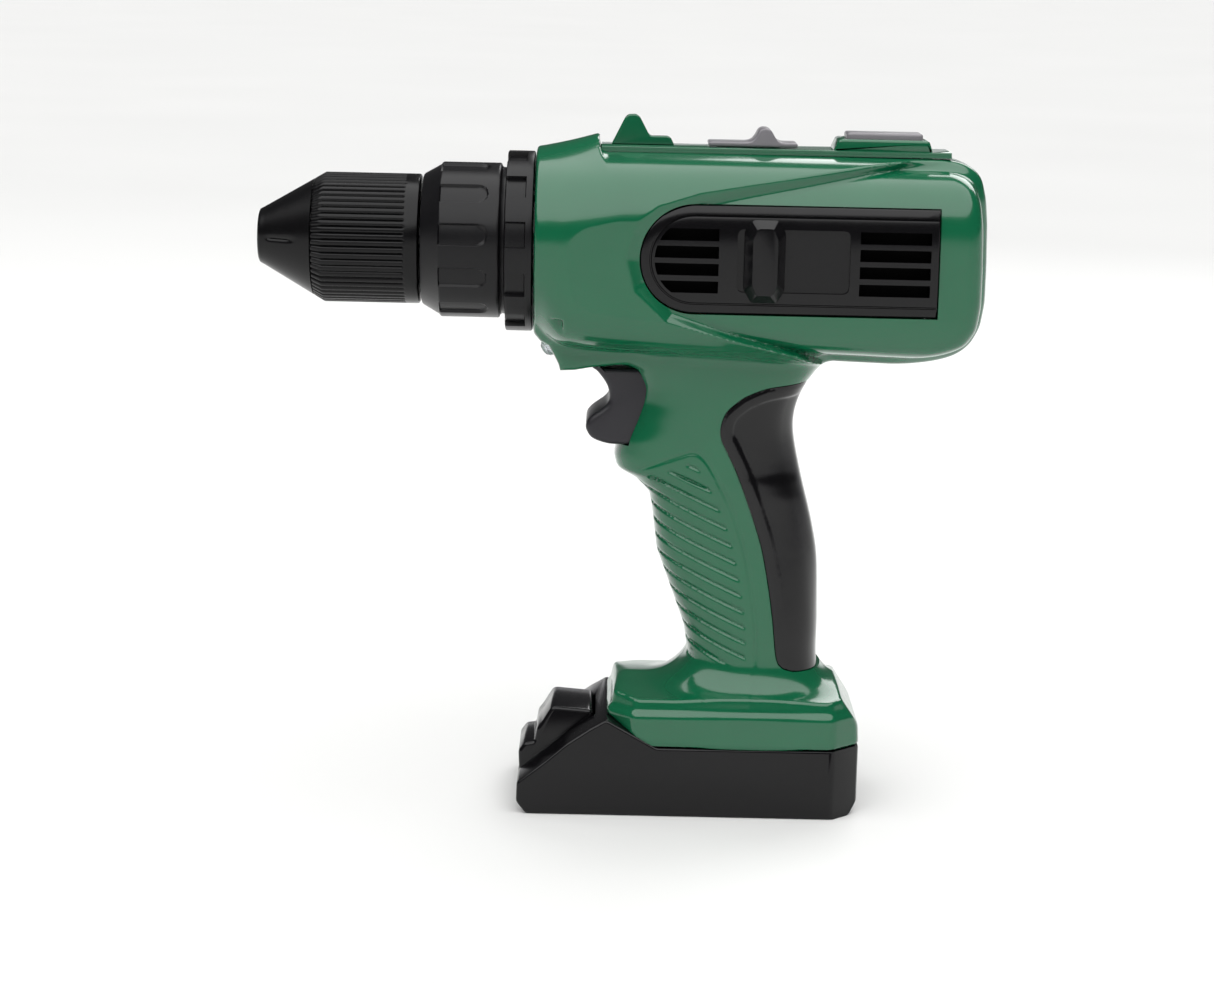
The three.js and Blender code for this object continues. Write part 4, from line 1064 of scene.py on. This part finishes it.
def makeNose():
    s = chuck
    tip, back = coneLow[0], coneHigh[0]
    angles = np.linspace(0, 2 * math.pi, 144, endpoint=False)
    hexRadius = s["flats"] / 2
    front = np.linspace(tip + 1.4, back, 22)
    outer = [(tip, hexRadius + 0.9), (tip, s["rim"] - 0.9), (tip + 0.25, s["rim"] - 0.3),
             (tip + 0.8, s["rim"] + 0.05)]
    outer += [(x, coneRadius(x)) for x in front]
    inner = [(back, s["bore"]), (tip + 9, s["bore"]), (tip + 9, hexRadius), (tip + 0.5, hexRadius),
             (tip + 0.1, hexRadius + 0.3)]
    profile = np.array(outer + inner)

    def hexed(x, r, angle):
        # the bore wall keeps to a hexagon, and three jaw lines run up the cone
        wedge = (angle + math.pi / 6) % (math.pi / 3) - math.pi / 6
        flat = r / np.cos(wedge)
        slit = np.abs((angle + math.pi / 3) % (2 * math.pi / 3) - math.pi / 3) * r
        ends = rise(x, tip + 2.5, tip + 4) * rise(-x, -tip - 12, -tip - 9)
        line = s["slitDeep"] * np.exp(-((slit / s["slitHalf"]) ** 2)) * ends
        out = (r > s["rim"]) & (x < back - 0.01)
        return np.where(r < s["rim"] - 1.5, np.where(r < s["bore"] - 1, flat, r), r - np.where(out, line, 0))

    nose = turned("nose_cap", profile, angles, hexed)
    show(nose, "chuck", look["chuckBlack"], ["nose_cone"])


def makeSleeve():
    s = chuck
    front, back = sleeveLow[0], sleeveHigh[0]
    ribs = s["ribs"]
    share = np.array([0, 0.1, 0.2, 0.3, 0.38, 0.5, 0.62, 0.7, 0.8, 0.9])
    angles = ((np.arange(ribs)[:, None] + share[None, :]) / ribs * 2 * math.pi).ravel()
    bandFront = back - s["band"]
    run = np.r_[front, front + 0.15, front + 0.5, np.linspace(front + 1, bandFront - 0.7, 26),
                bandFront - 0.4, bandFront - 0.2, bandFront, bandFront + 0.4, back - 0.7, back - 0.25, back]
    edge = np.minimum(coneRadius(run), s["sleeveRadius"])
    edge[0] -= 0.25
    edge[-1] -= 0.6
    edge[-2] -= 0.12
    profile = np.concatenate([np.stack([run, edge], 1), [(back, s["bore"] + 0.4), (front, s["bore"] + 0.4)]])

    def ribbed(x, r, angle):
        # narrow grooves between broad ribs, which fade into the smooth band
        wave = (angle * ribs / (2 * math.pi)) % 1
        groove = np.exp(-(((wave - 0.5) / 0.17) ** 2))
        here = (r > s["bore"] + 2) * rise(-x, -bandFront, -bandFront + 0.4)
        return r - s["ribDeep"] * groove * here

    sleeve = turned("chuck_grip", profile, angles, ribbed)
    wall = [(front + 12.3, 4.1), (front + 15, 4.1), (front + 15, 17), (front + 12.3, 17)]
    disc = turned("disc", wall, np.linspace(0, 2 * math.pi, 96, endpoint=False))
    sleeve = solidStep(sleeve, disc, "UNION")
    show(sleeve, "chuck", look["chuckBlack"], ["chuck_sleeve"])


collar = {
    "lobes": 11,
    "turn": 9.0,  # degrees from the horizontal to the first raised land
    # recess on the drum: its two ends from the collar's front, half width and depth
    "scallop": (5.4, 18.6, 3.05, 0.75),
    "pocket": (5.7, 3.6, 1.3),  # recess in the ring's front: length, half width and depth
    "bore": 13.4,
}


def makeCollar():
    s = collar
    front, back = collarLow[0], collarHigh[0]
    ring = (collarHigh[2] - collarLow[2]) / 2
    drum = ring - 3.6
    ringFront = back - 7.7
    shape = [(front, 18.4), (front + 0.35, 18.8), (front + 4.9, drum - 0.7), (front + 5.2, drum - 0.25),
             (front + 5.6, drum)]
    shape += [(x, drum) for x in np.linspace(front + 5.9, ringFront - 2.3, 52)]
    shape += [(ringFront - 1.9, drum - 0.15), (ringFront - 1.6, drum - 0.9), (ringFront - 1.2, drum - 1.2),
              (ringFront - 0.35, drum - 1.2), (ringFront - 0.1, drum - 0.9), (ringFront, ring - 0.5),
              (ringFront + 0.15, ring - 0.12), (ringFront + 0.5, ring)]
    shape += [(x, ring) for x in np.linspace(ringFront + 0.9, ringFront + 5.3, 10)]
    shape += [(ringFront + d, ring) for d in (5.5, 5.65, 5.8, 6.1)]
    shape += [(back - 0.5, ring), (back - 0.15, ring - 0.12), (back, ring - 0.5), (back, s["bore"]),
              (front, s["bore"])]
    pitch = 2 * math.pi / s["lobes"]
    half = s["scallop"][2] / drum
    pocketLong, pocketWide, pocketDeep = s["pocket"]
    pocketHalf = pocketWide / ring
    marks = np.unique(np.round(np.r_[np.linspace(-0.5, 0.5, 24, endpoint=False) * pitch,
                      [e * (half + d / drum) for e in (-1, 1) for d in (-0.35, -0.15, 0.05, 0.25)],
                      [e * (pocketHalf + d / ring) for e in (-1, 1) for d in (-0.1, 0.02, 0.14)]], 5))
    centres = np.arange(s["lobes"]) * pitch + math.radians(s["turn"])
    angles = (centres[:, None] + marks[None, :]).ravel()

    def carved(x, r, angle):
        wedge = (angle - math.radians(s["turn"]) + pitch / 2) % pitch - pitch / 2
        a, b, wide, deep = s["scallop"]
        u = x - front - a
        long = b - a
        off = np.hypot(np.maximum(u - (long - wide * 0.9), 0), wedge * drum)
        scallop = rise(-off, -wide - 0.15, -wide + 0.35) * rise(u, -0.05, 0.05) * (u < long + 1)
        v = x - ringFront
        pocket = rise(-np.abs(wedge) * ring, -pocketWide - 0.12, -pocketWide)
        pocket = pocket * rise(-v, -pocketLong - 0.1, -pocketLong + 0.1) * (v > -0.05)
        onDrum = (r > drum - 0.3) & (r < drum + 0.01)
        onRing = r > drum + 1
        return r - deep * scallop * onDrum - pocketDeep * pocket * onRing

    piece = turned("torque_ring", shape, angles, carved)
    show(piece, "collar", look["collarBlack"], ["torque_collar"])


# ---- top rail, its slider and button

rail = {
    "half": 9.0,
    "top": 28.2,  # over the chuck axis, as are the heights of the fin
    "fin": ((-26, 28.0), (-22.1, 35.9), (-21.2, 36.7), (-18.9, 36.8), (-17.9, 36.0),
            (-15.4, 31.4), (-14.6, 30.8), (-9.9, 30.8), (-9.0, 30.3), (-7.9, 28.0)),
    # pedestal and speed key: x, height over the rail's top
    "pedestal": ((36.8, -0.4), (38.1, 2.8), (38.9, 3.2), (63.2, 3.2), (63.9, 2.8), (65.0, -0.4)),
    "key": ((1.6, 0.3), (1.6, 1.3), (2.0, 1.6), (12.6, 1.6), (14.0, 2.0), (15.0, 3.2), (15.9, 5.0),
            (16.8, 5.55), (18.4, 5.55), (19.3, 5.0), (20.3, 3.2), (21.3, 2.0), (22.7, 1.6),
            (26.4, 1.6), (26.8, 1.3), (26.8, 0.3)),
}


def makeRail():
    s = rail
    up = axisHeight
    low, high = railLow, railHigh
    half, top = s["half"], s["top"] + up
    side = [(-half, low[2]), (half, low[2]), (half, top - 0.95), (half - 0.45, top - 0.8),
            (half - 0.45, top - 0.25), (half - 0.8, top), (-half + 0.8, top),
            (-half + 0.45, top - 0.25), (-half + 0.45, top - 0.8), (-half, top - 0.95)]
    strip = prism("top_rail_strip", side, low[0], high[0], "x")
    fin = prism("fin", fillet([(x, z + up) for x, z in s["fin"]], 0.5, 4), -1.5, 1.5, radius=0.45)
    pedestal = fillet([(x, top + z) for x, z in s["pedestal"]], 0.4, 3)
    seat = prism("pedestal", pedestal, -8, 8, radius=0.8)
    strip = solidStep(solidStep(strip, fin, "UNION"), seat, "UNION")
    strip = solidStep(strip, block("buttonWell", (40.3, -5.8, top - 4), (62.5, 5.8, top + 8), 0.0))
    strip = solidStep(strip, block("speedWell", (4, -2.4, top - 4), (22, 2.4, top + 1)))
    show(strip, "housing", look["greenGloss"], ["top_rail"])

    key = prism("speed_key", fillet([(x, top + z) for x, z in s["key"]], 0.7, 4), -6, 6, radius=0.5)
    key = solidStep(key, block("stem", (6.4, -2, top - 3), (14, 2, top + 0.9)), "UNION")
    show(key, "speed_switch", look["greyPlastic"], ["speed_slider"])

    padLow, padHigh = boxOf("effects_button")
    plan = fillet([(padLow[0], -5.5), (padHigh[0], -5.5), (padHigh[0], 5.5), (padLow[0], 5.5)], 1.0, 4)
    pad = prism("effects_pad", plan, top - 1, padHigh[2], "z", radius=0.7)
    foot = block("foot", (padLow[0] + 3, -5.5, padLow[2]), (padHigh[0] - 3, 5.5, top + 0.5))
    pad = solidStep(pad, foot, "UNION")
    show(pad, "effects_key", look["greyPlastic"], ["effects_button"])


# ---- trigger, lamp, battery foot

trigger = {
    "half": boxOf("trigger")[1][1],
    "outline": ((-9, 127.7), (-29.8, 127.7), (-28.6, 126.9), (-26.9, 124.9), (-25.5, 122.6), (-24.9, 120),
                (-25.3, 117.9), (-26.8, 116.3), (-29.2, 114.6), (-30.9, 112.9), (-31.5, 111.2),
                (-31.1, 109.4), (-29.7, 107.6), (-27.2, 106.5), (-24.6, 105.9), (-22, 105.8), (-9, 105.8)),
    "edge": 1.7,
}


def makeTrigger():
    s = trigger
    half = s["half"]
    outline = throughPoints(s["outline"][1:-1], 4, closed=False)
    outline = np.concatenate([outline, [(-9, outline[-1][1]), (-9, outline[0][1])]])
    piece = prism("trigger_key", outline, -half, half, radius=s["edge"], steps=6)
    show(piece, "trigger_body", look["triggerGrey"], ["trigger"], 50)


battery = {
    "outline": ((-46.5, 0), (-49.3, 3.5), (-49.2, 9.3), (-41, 15.8), (-35.2, 20.9), (-28.4, 25.6),
                (-23.8, 28.3), (-9.2, 20.3), (49.3, 20.3), (49.3, 4), (46.8, 0)),
    "half": 26.0, "corner": 8.0, "cheek": 12.4,
    "latch": ((-48.9, 8.3), (-49.2, 14.8), (-47.4, 17.3), (-44.6, 17.7), (-43.9, 21.8), (-42.6, 23.4),
              (-39.9, 27.9), (-38.9, 28.4), (-28.6, 27.6), (-27.9, 26.8), (-27.3, 20), (-27.3, 8.3)),
}


def makeBattery():
    s = battery
    half, corner, cheek = s["half"], s["corner"], s["cheek"]
    case = prism("battery_tray", fillet(s["outline"], 0.8, 4), -half, half, radius=0.8, steps=6)
    a, b = -60, s["outline"][8][0]
    plan = [(a, -half), (b - corner, -half), (b, -half + corner),
            (b, half - corner), (b - corner, half), (a, half)]
    case = solidStep(case, prism("plan", fillet(plan, 1.2, 4), -5, 40, "z"), "INTERSECT")
    case = solidStep(case, block("latchGap", (-70, -cheek, 8), (-27, cheek, 60)))
    coverLow, coverHigh = boxOf("battery_cover")
    cellHigh = boxOf("aa_cell_2")[1]
    bayHigh = (coverHigh[0] - 7 + 0.3, cellHigh[1] + 0.9, cellHigh[2] + 1)
    case = solidStep(case, block("bay", (-22, -cellHigh[1] - 0.9, -1), bayHigh))
    case = solidStep(case, block("coverSeat", coverLow - (0.3, 0.3, 2), coverHigh + 0.3))
    case = solidStep(case, block("wireHole", (8, -9, 12), (22, 9, 23)))
    case = solidStep(case, rod("pilot", 1.3, 1, 12, "z", (coverHigh[0] - 3.3, 0), 24))
    show(case, "housing", look["blackGloss"], ["battery_case"])
    latch = prism("latch_dummy", fillet(s["latch"], 0.7, 4), -cheek + 0.3, cheek - 0.3, radius=1.0)
    show(latch, "housing", look["blackGloss"], ["latch_block"])


screws = {
    # shank and pan head: y, radius
    "profile": ((-8.6, 0.15), (-8.0, 1.1), (9.3, 1.1), (9.3, 2.3), (10.2, 2.3), (10.8, 2.0), (11.2, 1.3),
                (11.35, 0.3)),
    "arm": 1.5,  # of the cross recess, from its middle
    "armHalf": 0.28,
    "recessFloor": 10.2,
}


def makeScrews():
    s = screws
    arm, thin = s["arm"], s["armHalf"]
    # one corner of the cross, then the same turned by quarters
    cross = [(-arm, -thin), (-thin, -thin), (-thin, -arm)]
    for _ in range(3):
        cross += [(-z, x) for x, z in cross[-3:]]
    for i, (x, z) in enumerate(posts):
        screw = pins(f"cross_screw_{i + 1}", s["profile"], [(x, z)])
        recess = prism("cross", np.array(cross) + (x, z), s["recessFloor"], 13)
        show(solidStep(screw, recess), "housing", look["steel"], [f"housing_screw_{i + 1}"])


makeCamera()
makeLights()
bpy.context.scene.view_settings.view_transform = "Standard"
bpy.ops.mesh.primitive_circle_add(vertices=96, radius=studio["floorRadius"], fill_type="NGON")
floor = bpy.context.object
floor.name = "floor"
floor.data.materials.append(floorPaint())
print("studio ready")

makeShells()
makeRearGrip()
makeVents()
makeNose()
makeSleeve()
makeCollar()
makeRail()
makeTrigger()
makeBattery()
makeScrews()

kept = {  # frame nodes that stay as they are, with the finish that each takes
    "steel": ["bit_holder", "drive_shaft", "idler_axle", "motor_can", "motor_rotor", "trigger_spring",
              "button_spring", "battery_cover_screw", "contact_spring_1", "contact_spring_2",
              "contact_terminal_1", "contact_terminal_2", "contact_bridge"],
    "bronze": ["front_bushing", "rear_bushing", "motor_pinion"],
    "whiteNylon": ["output_gear", "idler_gear", "led", "motor_end_cap"],
    "amberPlastic": ["gearbox_case", "gearbox_cover"],
    "satinBlack": ["trigger_switch", "effects_switch", "speaker", "battery_lead_2"],
    "redLead": ["battery_lead_1"],
    "blackGloss": ["battery_cover"],
    "lensClear": ["led_lens"],
    "circuitGreen": ["circuit_board"],
    "cellJacket": ["aa_cell_1", "aa_cell_2"],
}
for finish, names in kept.items():
    for name in names:
        mesh = frame["nodes"][name].data
        mesh.materials.clear()
        mesh.materials.append(look[finish])
print("frame nodes painted")
